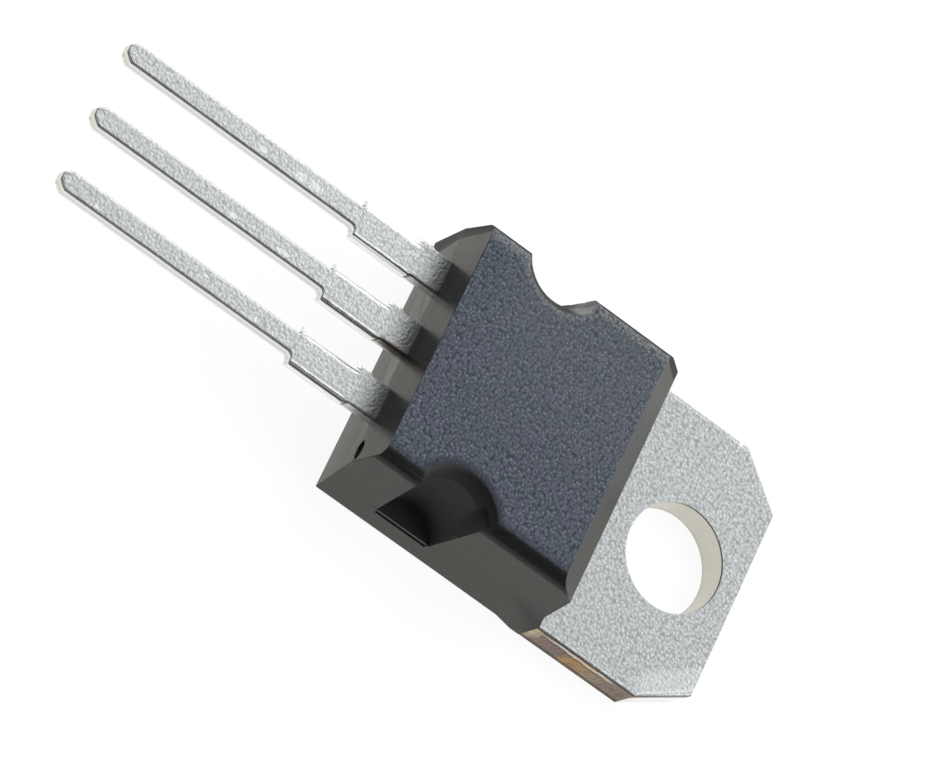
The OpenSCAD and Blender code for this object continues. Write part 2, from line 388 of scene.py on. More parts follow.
class Effects:
    """The shader node groups that several finishes share, each built once."""

    def __init__(self) -> None:
        """Builds the four groups."""
        self.grain = self._grain()
        self.band = self._band()
        self.spot = self._spot()
        self.streak = self._streak()

    @staticmethod
    def _grain() -> bpy.types.NodeTree:
        """Fine matt grain: a tone around one half, glints of painted highlight and a height.

        Returns:
            The group's tree.
        """
        graph, given, result = new_group(
            "fine_grain",
            {"Place": (Kind.VECTOR, (0, 0, 0)), "Per mm": (Kind.VALUE, 12.0), "Glints": (Kind.VALUE, 0.3)},
            {"Tone": Kind.VALUE, "Glint": Kind.VALUE, "Height": Kind.VALUE},
        )
        place, per_mm, glints = given.outputs[:3]
        # The pattern's columns lean, so that no flat face of the part cuts them lengthwise
        lean, bead_scale, scatter, bead_height = (0.28, 0.38, 0.2), 0.65, 0.9, 0.86
        coarse_share, bead_share, middle, contrast = 0.75, 0.55, 0.575, 1.35
        leaning = graph.add("ShaderNodeMapping", {"Vector": place, "Rotation": lean}).outputs[0]
        cells = graph.add(
            "ShaderNodeTexVoronoi",
            {"Vector": leaning, "Scale": graph.times(per_mm, bead_scale), "Randomness": scatter},
            feature="F1", voronoi_dimensions="2D",
        )
        away, cell_colour = cells.outputs[0], cells.outputs["Color"]
        bead = graph.line(away, -1.0, bead_height, clamp=True)
        coarse = graph.noise(place, per_mm, 0.0, 0.5)
        both = graph.line(coarse, coarse_share, graph.times(bead, bead_share))
        tone = graph.line(graph.minus(both, middle), contrast, 0.5, clamp=True)
        # Only the middles of a few beads glint: painted highlights, which the tin and the moulding mix
        # into their colour
        inner, picked = graph.ramp(away, 0.42, 0.1), graph.ramp(graph.parts(cell_colour)[0], 0.55, 0.95)
        glint = graph.math("MULTIPLY", graph.times(inner, picked), glints, clamp=True)
        graph.feed(result.inputs["Tone"], tone)
        graph.feed(result.inputs["Glint"], glint)
        graph.feed(result.inputs["Height"], graph.plus(both, graph.times(glint, 0.2)))
        return graph.tree

    @staticmethod
    def _band() -> bpy.types.NodeTree:
        """Mask of a band of a value, with soft ends.

        Returns:
            The group's tree.
        """
        graph, given, result = new_group(
            "soft_band",
            {
                "Value": (Kind.VALUE, 0.0), "Low": (Kind.VALUE, 0.0),
                "High": (Kind.VALUE, 1.0), "Soft": (Kind.VALUE, 0.05),
            },
            {"Mask": Kind.VALUE},
        )
        value, low, high, soft = given.outputs[:4]
        rise = graph.math("DIVIDE", graph.minus(value, low), soft, clamp=True)
        fall = graph.math("DIVIDE", graph.minus(high, value), soft, clamp=True)
        graph.feed(result.inputs["Mask"], graph.times(rise, fall))
        return graph.tree

    @staticmethod
    def _spot() -> bpy.types.NodeTree:
        """Mask of a ragged worn spot.

        Returns:
            The group's tree.
        """
        graph, given, result = new_group(
            "worn_spot",
            {
                "Place": (Kind.VECTOR, (0, 0, 0)), "Centre": (Kind.VECTOR, (0, 0, 0)),
                "Size": (Kind.VECTOR, (1, 1, 1)), "Ragged": (Kind.VALUE, 0.6),
            },
            {"Mask": Kind.VALUE},
        )
        place, centre, size, ragged = given.outputs[:4]
        outside, inside = 1.05, 0.7
        away = graph.vector("DIVIDE", graph.vector("SUBTRACT", place, centre).outputs[0], size).outputs[0]
        reach = graph.vector("LENGTH", away).outputs["Value"]
        rough = graph.wander(place, 9.0, 2.0, 0.6, ragged)
        graph.feed(result.inputs["Mask"], graph.ramp(graph.plus(reach, rough), outside, inside))
        return graph.tree

    @staticmethod
    def _streak() -> bpy.types.NodeTree:
        """Mask of broken streaks that run along one direction.

        Returns:
            The group's tree.
        """
        graph, given, result = new_group(
            "broken_streak",
            {
                "Place": (Kind.VECTOR, (0, 0, 0)), "Stretch": (Kind.VECTOR, (1, 1, 1)),
                "Cover": (Kind.VALUE, 0.5),
            },
            {"Mask": Kind.VALUE},
        )
        place, stretch, cover = given.outputs[:3]
        value = graph.noise(graph.stretched(place, stretch), 1.0, 3.0, 0.55)
        limit = graph.minus(0.75, graph.times(cover, 0.5))
        mask = graph.math("DIVIDE", graph.minus(value, limit), 0.08, clamp=True)
        graph.feed(result.inputs["Mask"], mask)
        return graph.tree


# --------------------------------------------------------------------------
# Finishes
# --------------------------------------------------------------------------


@dataclass(frozen=True)
class Spot:
    """A worn spot: its centre and half sizes in millimetres, how strong and how ragged it is."""

    centre: Vec3
    size: Vec3
    strength: float = 1.0
    ragged: float = 0.6


class Surface:
    """A new material with its graph, shader and place in millimetres."""

    def __init__(self, name: str) -> None:
        """Makes the material.

        Args:
            name: The material's name.
        """
        self.material = bpy.data.materials.new(name)
        self.material.use_nodes = True
        tree = self.material.node_tree
        tree.nodes.clear()
        self.graph = Graph(tree)
        self.shader = self.graph.add("ShaderNodeBsdfPrincipled")
        output = self.graph.add("ShaderNodeOutputMaterial")
        tree.links.new(self.shader.outputs[0], output.inputs[0])
        coordinates = self.graph.add("ShaderNodeTexCoord")
        self.place = self.graph.scaled(coordinates.outputs["Object"], MM_PER_METRE)
        self.facing = coordinates.outputs["Normal"]

    def set(self, **values: Any) -> None:
        """Fills the shader's sockets.

        Args:
            **values: Socket name with underscores for spaces, to a value or socket.
        """
        for key, value in values.items():
            self.graph.feed(self.shader.inputs[key.replace("_", " ")], value)

    def bump(self, height: Any, distance_mm: float, strength: float = 1.0) -> None:
        """Feeds a bump of a height to the shader's normal.

        Args:
            height: Height socket.
            distance_mm: Depth of a height of one.
            strength: Strength of the bump.
        """
        node = self.graph.add(
            "ShaderNodeBump", {"Height": height, "Distance": distance_mm * MM, "Strength": strength}
        )
        self.set(Normal=node.outputs[0])

    def mask(self, effects: Effects, value: Any, low: float, high: float, soft: float) -> Socket:
        """Returns the mask of a band of a value.

        Args:
            effects: The shared groups.
            value: Value or socket.
            low: Lower end.
            high: Upper end.
            soft: Width of each soft end.

        Returns:
            The mask socket.
        """
        return self.graph.group(
            effects.band, {"Value": value, "Low": low, "High": high, "Soft": soft}
        ).outputs[0]

    def spots(self, effects: Effects, spots: Iterable[Spot]) -> Socket:
        """Returns the joint mask of several spots.

        Args:
            effects: The shared groups.
            spots: The spots.

        Returns:
            The mask socket.
        """
        whole: Any = 0.0
        for spot in spots:
            inputs = {"Place": self.place, "Centre": spot.centre, "Size": spot.size, "Ragged": spot.ragged}
            one = self.graph.group(effects.spot, inputs).outputs[0]
            whole = self.graph.most(whole, self.graph.times(one, spot.strength))
        return whole

    def grain(self, effects: Effects, per_mm: float, glints: float) -> tuple[Socket, Socket, Socket]:
        """Places the shared grain on the surface.

        Args:
            effects: The shared groups.
            per_mm: How fine it is.
            glints: How bright its glints are.

        Returns:
            The tone, the glints' mask and the height.
        """
        inputs = {"Place": self.place, "Per mm": per_mm, "Glints": glints}
        return tuple(self.graph.group(effects.grain, inputs).outputs[:3])

    def streaks(self, effects: Effects, stretch: Vec3, cover: float) -> Socket:
        """Places the shared broken streaks on the surface.

        Args:
            effects: The shared groups.
            stretch: How many waves the streaks have in a millimetre along each axis.
            cover: Share of the surface that they cover, roughly.

        Returns:
            Their mask.
        """
        inputs = {"Place": self.place, "Stretch": stretch, "Cover": cover}
        return self.graph.group(effects.streak, inputs).outputs[0]


@dataclass(frozen=True)
class MattTin:
    """Matt tin plating with its grain, painted glints, worn spots and painted highlights along its rims.
    """

    name: str = "matt_tin_tab"
    light: Colour = (0.735, 0.745, 0.75, 1.0)
    dark: Colour = (0.39, 0.40, 0.405, 1.0)
    bright: Colour = (0.98, 0.98, 0.98, 1.0)
    roughness: float = 0.34
    per_mm: float = 11.6
    glints: float = 0.25
    rim_highlight: tuple[float, float] = (4.885, 4.95)
    corner_way: tuple[float, float] = (0.806, 0.592)
    corner_strip: tuple[float, float] = (3.65, 5.0)
    corner_highlight: tuple[float, float] = (4.40, 4.52)
    strip_from: Ramp = (0.4, 0.9)
    edge_until: Ramp = (0.9, 0.7)
    spots: tuple[Spot, ...] = (
        Spot((-4.93, 0.49, TAB_FRONT), (0.08, 0.12, 0.2)),
        Spot((2.46, 2.2, TAB_FRONT), (0.05, 0.14, 0.2), 0.4),
        Spot((2.55, 2.45, TAB_FRONT), (0.1, 0.04, 0.2), 0.5),
        Spot((2.78, 2.56, TAB_FRONT), (0.13, 0.04, 0.2), 0.6),
        Spot((2.15, 1.8, TAB_FRONT), (0.12, 0.05, 0.2), 0.35),
    )

    def plate(self, made: Surface, effects: Effects) -> tuple[Socket, Socket, Socket]:
        """Makes the grain that both forms of the plating share.

        Args:
            made: The material under work.
            effects: The shared groups.

        Returns:
            The colour, the tone and the grain's height.
        """
        tone, glint, height = made.grain(effects, self.per_mm, self.glints)
        colour = made.graph.mix(tone, self.dark, self.light)
        # The glints are painted highlights
        return made.graph.mix(glint, colour, self.bright), tone, height

    def polish_and_highlights(self, made: Surface, effects: Effects) -> Socket:
        """Makes the mask of the places that are rubbed smooth, and of the painted highlights along the
        rims.

        Args:
            made: The material under work.
            effects: The shared groups.

        Returns:
            The mask socket.
        """
        graph = made.graph
        x, y = graph.parts(made.place)[:2]
        # A smooth strip where the corner was cut, and painted highlights along the rims of the cut corner
        # and of the long edges
        along = graph.plus(graph.times(x, self.corner_way[0]), graph.times(y, self.corner_way[1]))
        corner = graph.times(
            made.mask(effects, along, *self.corner_strip, 0.16), graph.ramp(y, *self.strip_from),
        )
        broken = graph.ramp(graph.noise(made.place, 4.0, 2.0, 0.6), 0.35, 0.55)
        edge = made.mask(effects, graph.math("ABSOLUTE", x), *self.rim_highlight, 0.02)
        edge = graph.times(edge, graph.ramp(y, *self.edge_until), broken)
        cut = graph.times(
            made.mask(effects, along, *self.corner_highlight, 0.03), graph.ramp(y, *self.edge_until[::-1]),
        )
        worn = graph.most(made.spots(effects, self.spots), graph.times(corner, 0.3))
        return graph.most(worn, graph.times(graph.most(edge, cut), 0.6))

    def darken(self, made: Surface, effects: Effects, colour: Socket) -> Socket:
        """Adds the leads' darker line, painted shade and painted reflection, which the tab doesn't have.

        Args:
            made: The material under work, not used here.
            effects: The shared groups, not used here.
            colour: The colour so far.

        Returns:
            The colour with the lines.
        """
        return colour

    def build(self, effects: Effects) -> bpy.types.Material:
        """Makes the material.

        Args:
            effects: The shared groups.

        Returns:
            The material.
        """
        made = Surface(self.name)
        graph = made.graph
        colour, tone, height = self.plate(made, effects)
        polish_and_highlights = self.polish_and_highlights(made, effects)
        # Real polish and painted highlights both mix in the bright colour
        colour = self.darken(made, effects, graph.mix(polish_and_highlights, colour, self.bright))
        base = graph.line(tone, -0.12, self.roughness + 0.06)
        roughness = graph.minus(base, graph.times(polish_and_highlights, 0.08))
        made.set(Base_Color=colour, Metallic=1.0, Roughness=roughness)
        calm = graph.minus(1.0, graph.times(polish_and_highlights, 0.7))
        made.bump(graph.times(height, calm), 0.012, 0.5)
        return made.material


@dataclass(frozen=True)
class LeadTin(MattTin):
    """Lighter plating of the leads, with a darker grey line on the cut part, painted shade along the
    rolled right edges and a painted reflection of the dark moulding near it.
    """

    name: str = "matt_tin_lead"
    light: Colour = (0.90, 0.90, 0.895, 1.0)
    dark: Colour = (0.55, 0.555, 0.545, 1.0)
    bright: Colour = (0.99, 0.99, 0.985, 1.0)
    shade: Colour = (0.10, 0.095, 0.09, 1.0)
    reflection_grey: Colour = (0.46, 0.47, 0.47, 1.0)
    resin: Colour = linear(96, 80, 62)
    cut_part: tuple[float, float] = (SHOULDER_Y, -13.75)
    burred: Ramp = (-1.6, -1.0)
    right_strip: tuple[float, float] = (0.53, 0.635)
    left_highlight: Ramp = (-0.33, -0.39)
    grey_line: tuple[float, float] = (0.43, 0.51)
    # Painted reflection of the dark moulding, and painted shade along the rolled right edges
    body_reflection: Ramp = (-13.8, -13.2, 0.0, 0.42)
    edge_shade: tuple[float, float] = (2.75, LEAD_HIGH - 0.016)
    resin_side: Ramp = (0.5, 0.58)
    resin_from: Ramp = (-13.7, -13.5)
    spots: tuple[Spot, ...] = (
        Spot((-2.466, -20.14, LEAD_HIGH), (0.12, 0.19, 0.2), 1.0, 0.4),
        Spot((-2.47, -18.55, LEAD_HIGH), (0.15, 0.30, 0.2), 0.8, 2.4),
        Spot((-2.49, -17.95, LEAD_HIGH), (0.15, 0.32, 0.2), 0.8, 2.4),
        Spot((0.123, -20.03, LEAD_HIGH), (0.11, 0.19, 0.2), 1.0, 0.4),
        Spot((0.16, -17.95, LEAD_HIGH), (0.10, 0.30, 0.2), 0.8, 2.0),
        Spot((2.46, -19.95, LEAD_HIGH), (0.07, 0.09, 0.2)),
        Spot((2.69, -17.74, LEAD_HIGH), (0.09, 0.06, 0.2)),
        Spot((2.7, -24.26, LEAD_HIGH), (0.09, 0.08, 0.2), 0.8),
        Spot((-2.6, -25.6, LEAD_HIGH), (0.15, 0.12, 0.2), 1.0, 1.2),
        Spot((-0.05, -25.58, LEAD_HIGH), (0.13, 0.12, 0.2), 1.0, 1.2),
        Spot((2.51, -25.52, LEAD_HIGH), (0.13, 0.12, 0.2), 1.0, 1.2),
    )

    def _across(self, made: Surface) -> Socket:
        """Gives the place across a lead from its middle, which sways a little.

        Args:
            made: The material under work.

        Returns:
            The place, in millimetres.
        """
        graph = made.graph
        x = graph.parts(made.place)[0]
        sway = graph.wander(made.place, 1.7, 2.0, 0.5, 0.04)
        return graph.plus(graph.math("WRAP", x, PITCH / 2, -PITCH / 2), sway)

    def _cut(self, made: Surface, effects: Effects) -> Socket:
        """Gives the mask of the part where the tie bar was cut off.

        Args:
            made: The material under work.
            effects: The shared groups.

        Returns:
            The mask socket.
        """
        return made.mask(effects, made.graph.parts(made.place)[1], *self.cut_part, 0.1)

    def polish_and_highlights(self, made: Surface, effects: Effects) -> Socket:
        """Makes the mask of the scuffs, of the bright strip beside the right cut edge and of the painted
        highlight on the rolled left edge.

        Args:
            made: The material under work.
            effects: The shared groups.

        Returns:
            The mask socket.
        """
        graph = made.graph
        across = self._across(made)
        drag = graph.line(made.streaks(effects, (2.0, 0.9, 2.0), 0.75), 0.4, 0.6)
        right = graph.times(made.mask(effects, across, *self.right_strip, 0.02), drag)
        # Painted highlight on the rolled left edge of the cut part
        left = graph.ramp(across, *self.left_highlight)
        strips = graph.times(graph.most(right, left), self._cut(made, effects))
        return graph.most(made.spots(effects, self.spots), strips)

    def darken(self, made: Surface, effects: Effects, colour: Socket) -> Socket:
        """Adds a darker grey line on the cut part, a painted reflection of the dark moulding, which
        darkens the leads towards it, and painted shade along the rolled right edges.

        Args:
            made: The material under work.
            effects: The shared groups.
            colour: The colour so far.

        Returns:
            The colour with the lines.
        """
        graph = made.graph
        x, y, z = graph.parts(made.place)
        across, cut, burred = self._across(made), self._cut(made, effects), graph.ramp(x, *self.burred)
        # A darker grey line along the cut part of the middle and right leads
        grey = graph.times(made.mask(effects, across, *self.grey_line, 0.025), cut, burred)
        colour = graph.mix(graph.times(grey, 0.55), colour, self.dark)
        # Painted reflection of the dark moulding, darker towards it
        colour = graph.mix(graph.ramp(y, *self.body_reflection), colour, self.reflection_grey)
        # Painted shade along the rolled right edges, a little lower on the cut part
        level = graph.plus(z, graph.times(cut, 0.02, burred))
        turned = graph.times(
            made.mask(effects, level, *self.edge_shade, 0.016), graph.ramp(across, 0.0, 0.1),
        )
        colour = graph.mix(graph.times(turned, 0.85), colour, self.shade)
        # The centre lead is brown with resin along its right side beside the moulding
        brown = graph.times(graph.ramp(across, *self.resin_side), graph.ramp(y, *self.resin_from))
        brown = graph.times(brown, made.mask(effects, x, -1.0, 1.0, 0.1))
        return graph.mix(graph.times(brown, 0.8), colour, self.resin)


@dataclass(frozen=True)
class ShearedTin:
    """Bright cut sides: a dark line of painted shade under the top edge and a thin grey line of painted
    contact shadow at the bottom.
    """

    name: str
    low: float
    high: float
    cream_from: float
    cream_to: float
    bright: Colour = (0.95, 0.96, 1.0, 1.0)
    cream: Colour = linear(236, 228, 212)
    # The grey also paints a contact shadow at the bottom, and the dark a shade line under the top edge
    grey: Colour = linear(150, 150, 150)
    dark: Colour = linear(46, 40, 34)
    line: float = 0.13
    roughness: float = 0.24

    def depth(self, made: Surface, effects: Effects) -> Any:
        """Gives how far the dark line of painted shade reaches down.

        Args:
            made: The material under work, not used here.
            effects: The shared groups, not used here.

        Returns:
            The depth in millimetres.
        """
        return self.line

    def where(self, made: Surface) -> Any:
        """Gives the mask of the sides that have the dark line of painted shade.

        Args:
            made: The material under work, not used here.

        Returns:
            The mask.
        """
        return 1.0

    def extra(self, made: Surface, effects: Effects, colour: Socket) -> Socket:
        """Adds marks of one kind of side, which a plain side doesn't have.

        Args:
            made: The material under work, not used here.
            effects: The shared groups, not used here.
            colour: The colour so far.

        Returns:
            The colour with the marks.
        """
        return colour

    def build(self, effects: Effects) -> bpy.types.Material:
        """Makes the material.

        Args:
            effects: The shared groups.

        Returns:
            The material.
        """
        made = Surface(self.name)
        graph = made.graph
        y, z = graph.parts(made.place)[1:]
        tone, _, height = made.grain(effects, 6.0, 0.1)
        level = graph.plus(z, graph.wander(made.place, 3.0, 2.0, 0.5, 0.05))
        creamy = made.mask(effects, y, self.cream_from, self.cream_to, 0.12)
        colour = graph.mix(graph.times(tone, 0.10), self.bright, self.grey)
        colour = graph.mix(graph.times(creamy, 0.7), colour, self.cream)
        colour = self.extra(made, effects, colour)
        # A thin grey line of painted contact shadow at the bottom edge
        under = graph.ramp(level, self.low + 0.055, self.low + 0.02)
        colour = graph.mix(graph.times(under, 0.7), colour, self.grey)
        # A dark line of painted shade under the rolled top edge
        reach = graph.plus(level, self.depth(made, effects))
        over = graph.times(graph.ramp(reach, self.high - 0.03, self.high), self.where(made))
        colour = graph.mix(graph.times(over, 0.95), colour, self.dark)
        made.set(
            Base_Color=colour, Metallic=graph.minus(1.0, graph.times(over, 0.4)),
            Roughness=graph.line(tone, 0.06, self.roughness),
        )
        made.bump(height, 0.006, 0.3)
        return made.material


@dataclass(frozen=True)
class ShearedLeadSide(ShearedTin):
    """Cut sides of the leads, whose dark line of painted shade is thickest where the tie bar was cut off.
    """

    name: str = "cut_lead_side"
    low: float = LEAD_LOW
    high: float = LEAD_HIGH
    cream_from: float = -26.0
    cream_to: float = -25.42
    plain: Colour = (0.56, 0.57, 0.60, 1.0)
    resin: Colour = linear(88, 72, 56)
    line: float = 0.07
    cut_part: tuple[float, float] = (SHOULDER_Y, -13.7)
    tip: float = -25.45
    left_of_centre: Ramp = (-1.6, -1.0)
    right_of_centre: Ramp = (1.0, 1.6)
    beside_body: Ramp = (-13.75, -13.45)
    plain_from: float = 2.54
    cut_plain_from: float = 2.7

    def depth(self, made: Surface, effects: Effects) -> Any:
        """Gives the depth of the painted shade line: thin on the base lead's cut part, thick on the
        others.

        Args:
            made: The material under work.
            effects: The shared groups.

        Returns:
            The depth in millimetres.
        """
        graph = made.graph
        x, y = graph.parts(made.place)[:2]
        cut = made.mask(effects, y, *self.cut_part, 0.08)
        thick = graph.line(graph.ramp(x, *self.right_of_centre), 0.3, graph.ramp(x, *self.left_of_centre))
        return graph.line(cut, graph.line(thick, 0.13, -0.045), self.line)

    def where(self, made: Surface) -> Any:
        """Gives the mask of the right sides and the tips.

        Args:
            made: The material under work.

        Returns:
            The mask.
        """
        graph = made.graph
        x, y = graph.parts(made.place)[:2]
        across = graph.math("WRAP", x, PITCH / 2, -PITCH / 2)
        return graph.most(graph.ramp(across, 0.0, 0.1), graph.ramp(y, self.tip + 0.03, self.tip))

    def extra(self, made: Surface, effects: Effects, colour: Socket) -> Socket:
        """Adds the plainer upper part of the side, painted shade beside the moulding, and resin brown
        there on the centre lead.

        Args:
            made: The material under work.
            effects: The shared groups.
            colour: The colour so far.

        Returns:
            The colour with the marks.
        """
        graph = made.graph
        x, y, z = graph.parts(made.place)
        cut = made.mask(effects, y, *self.cut_part, 0.08)
        above = graph.minus(z, graph.blend(cut, self.plain_from, self.cut_plain_from))
        upper = graph.times(graph.ramp(above, 0.0, 0.06), graph.ramp(above, 0.16, 0.1, 0.42, 0.85))
        colour = graph.mix(upper, colour, self.plain)
        # Painted shade, greyer beside the moulding
        near = graph.ramp(y, *self.beside_body)
        colour = graph.mix(graph.times(near, 0.4), colour, self.grey)
        centre = graph.times(near, made.mask(effects, x, 0.0, 1.0, 0.1))
        return graph.mix(graph.times(centre, graph.ramp(z, 2.55, 2.7), 0.85), colour, self.resin)


@dataclass(frozen=True)
class PunchedWall:
    """The smooth, slightly yellowed wall of the punched mounting hole."""

    name: str = "punched_wall"
    colour: Colour = (0.62, 0.612, 0.560, 1.0)
    deep: Colour = (0.54, 0.532, 0.480, 1.0)
    torn: Colour = (0.42, 0.40, 0.35, 1.0)
    torn_below: Ramp = (0.22, 0.1)
    roughness: float = 0.3

    def build(self, effects: Effects) -> bpy.types.Material:
        """Makes the material.

        Args:
            effects: The shared groups.

        Returns:
            The material.
        """
        made = Surface(self.name)
        graph = made.graph
        tone = made.grain(effects, 6.0, 0.0)[0]
        drawn = graph.noise(graph.stretched(made.place, (5.0, 5.0, 0.6)), 1.0, 2.0, 0.5)
        colour = graph.mix(graph.line(drawn, 0.6, graph.times(tone, 0.3)), self.colour, self.deep)
        torn = graph.times(graph.ramp(graph.parts(made.place)[2], *self.torn_below), 0.35)
        made.set(Base_Color=graph.mix(torn, colour, self.torn), Metallic=1.0, Roughness=self.roughness)
        made.bump(drawn, 0.01, 0.25)
        return made.material


@dataclass(frozen=True)
class ShearedCopper:
    """Bare, stained copper on the tab's sheared sides."""

    name: str = "sheared_copper"
    roughness: float = 0.4
    drawn: Colour = linear(96, 76, 64)
    worn: Colour = linear(200, 180, 160)
    red: Colour = linear(92, 70, 64)
    smeared: Colour = linear(240, 232, 222)
    shade: Colour = linear(38, 30, 26)
    contact_shadow: Colour = linear(52, 44, 38)
    smear_along: tuple[float, float] = (-3.1, 0.1)
    red_band: tuple[float, float] = (0.82, 0.96)
    smear_band: tuple[float, float] = (0.98, 1.14)
    shade_band: tuple[float, float] = (1.15, 1.262)
    contact_shadow_band: tuple[float, float] = (-0.1, 0.24)
    stains: tuple[tuple[float, Colour], ...] = (
        (-3.5, linear(215, 205, 170)),
        (-3.15, linear(190, 176, 150)),
        (-2.95, linear(140, 120, 112)),
        (-2.2, linear(132, 110, 110)),
        (-1.95, linear(118, 110, 98)),
        (-1.72, linear(196, 150, 84)),
        (-1.1, linear(184, 144, 90)),
        (-0.5, linear(166, 148, 122)),
        (-0.1, linear(138, 122, 112)),
        (0.9, linear(126, 112, 104)),
    )

    def _stained(self, made: Surface) -> Socket:
        """Makes the row of stains along the side, in the order of the class's list.

        Args:
            made: The material under work.

        Returns:
            The colour.
        """
        graph = made.graph
        y, z = graph.parts(made.place)[1:]
        first, last = self.stains[0][0], self.stains[-1][0]
        slant = graph.times(graph.minus(z, 0.6), -0.25)
        where = graph.plus(y, graph.wander(made.place, 2.2, 3.0, 0.6, 0.9), slant)
        share = graph.math("DIVIDE", graph.minus(where, first), last - first, clamp=True)
        colours = graph.add("ShaderNodeValToRGB", {0: share})
        row = colours.color_ramp
        for index, (at, colour) in enumerate(self.stains):
            spot = (at - first) / (last - first)
            stop = row.elements[index] if index < len(row.elements) else row.elements.new(spot)
            stop.position, stop.color = spot, colour
        return colours.outputs[0]

    def build(self, effects: Effects) -> bpy.types.Material:
        """Makes the material.

        Args:
            effects: The shared groups.

        Returns:
            The material.
        """
        made = Surface(self.name)
        graph = made.graph
        y, z = graph.parts(made.place)[1:]
        tone, _, height = made.grain(effects, 8.0, 0.2)
        drawn = made.streaks(effects, (1.0, 14.0, 1.6), 0.45)
        colour = graph.mix(graph.times(drawn, 0.5), self._stained(made), self.drawn)
        colour = graph.mix(graph.times(tone, 0.25), colour, self.worn)
        # Smeared tin above the copper, with a dark line of painted shade over it under the rolled top
        # edge, and a dark foot of painted contact shadow
        lift = graph.wander(made.place, 2.4, 4.0, 0.65, 0.24)
        level = graph.plus(z, lift)
        reach = made.mask(effects, y, *self.smear_along, 0.5)
        red = graph.times(made.mask(effects, level, *self.red_band, 0.05), reach)
        colour = graph.mix(graph.times(red, 0.75), colour, self.red)
        smear = graph.times(made.mask(effects, level, *self.smear_band, 0.04), reach)
        colour = graph.mix(graph.times(smear, 0.85), colour, self.smeared)
        # Painted shade under the rolled top edge
        dark = made.mask(effects, graph.line(lift, -0.6, level), *self.shade_band, 0.025)
        colour = graph.mix(graph.times(dark, 0.9), colour, self.shade)
        # Painted contact shadow along the foot
        low = made.mask(effects, graph.line(lift, -0.5, level), *self.contact_shadow_band, 0.05)
        colour = graph.mix(graph.times(low, 0.75), colour, self.contact_shadow)
        made.set(
            Base_Color=colour, Metallic=graph.minus(0.55, graph.times(dark, 0.5)),
            Roughness=graph.line(tone, 0.12, self.roughness),
        )
        made.bump(graph.plus(height, graph.times(drawn, 0.6)), 0.02, 0.5)
        return made.material


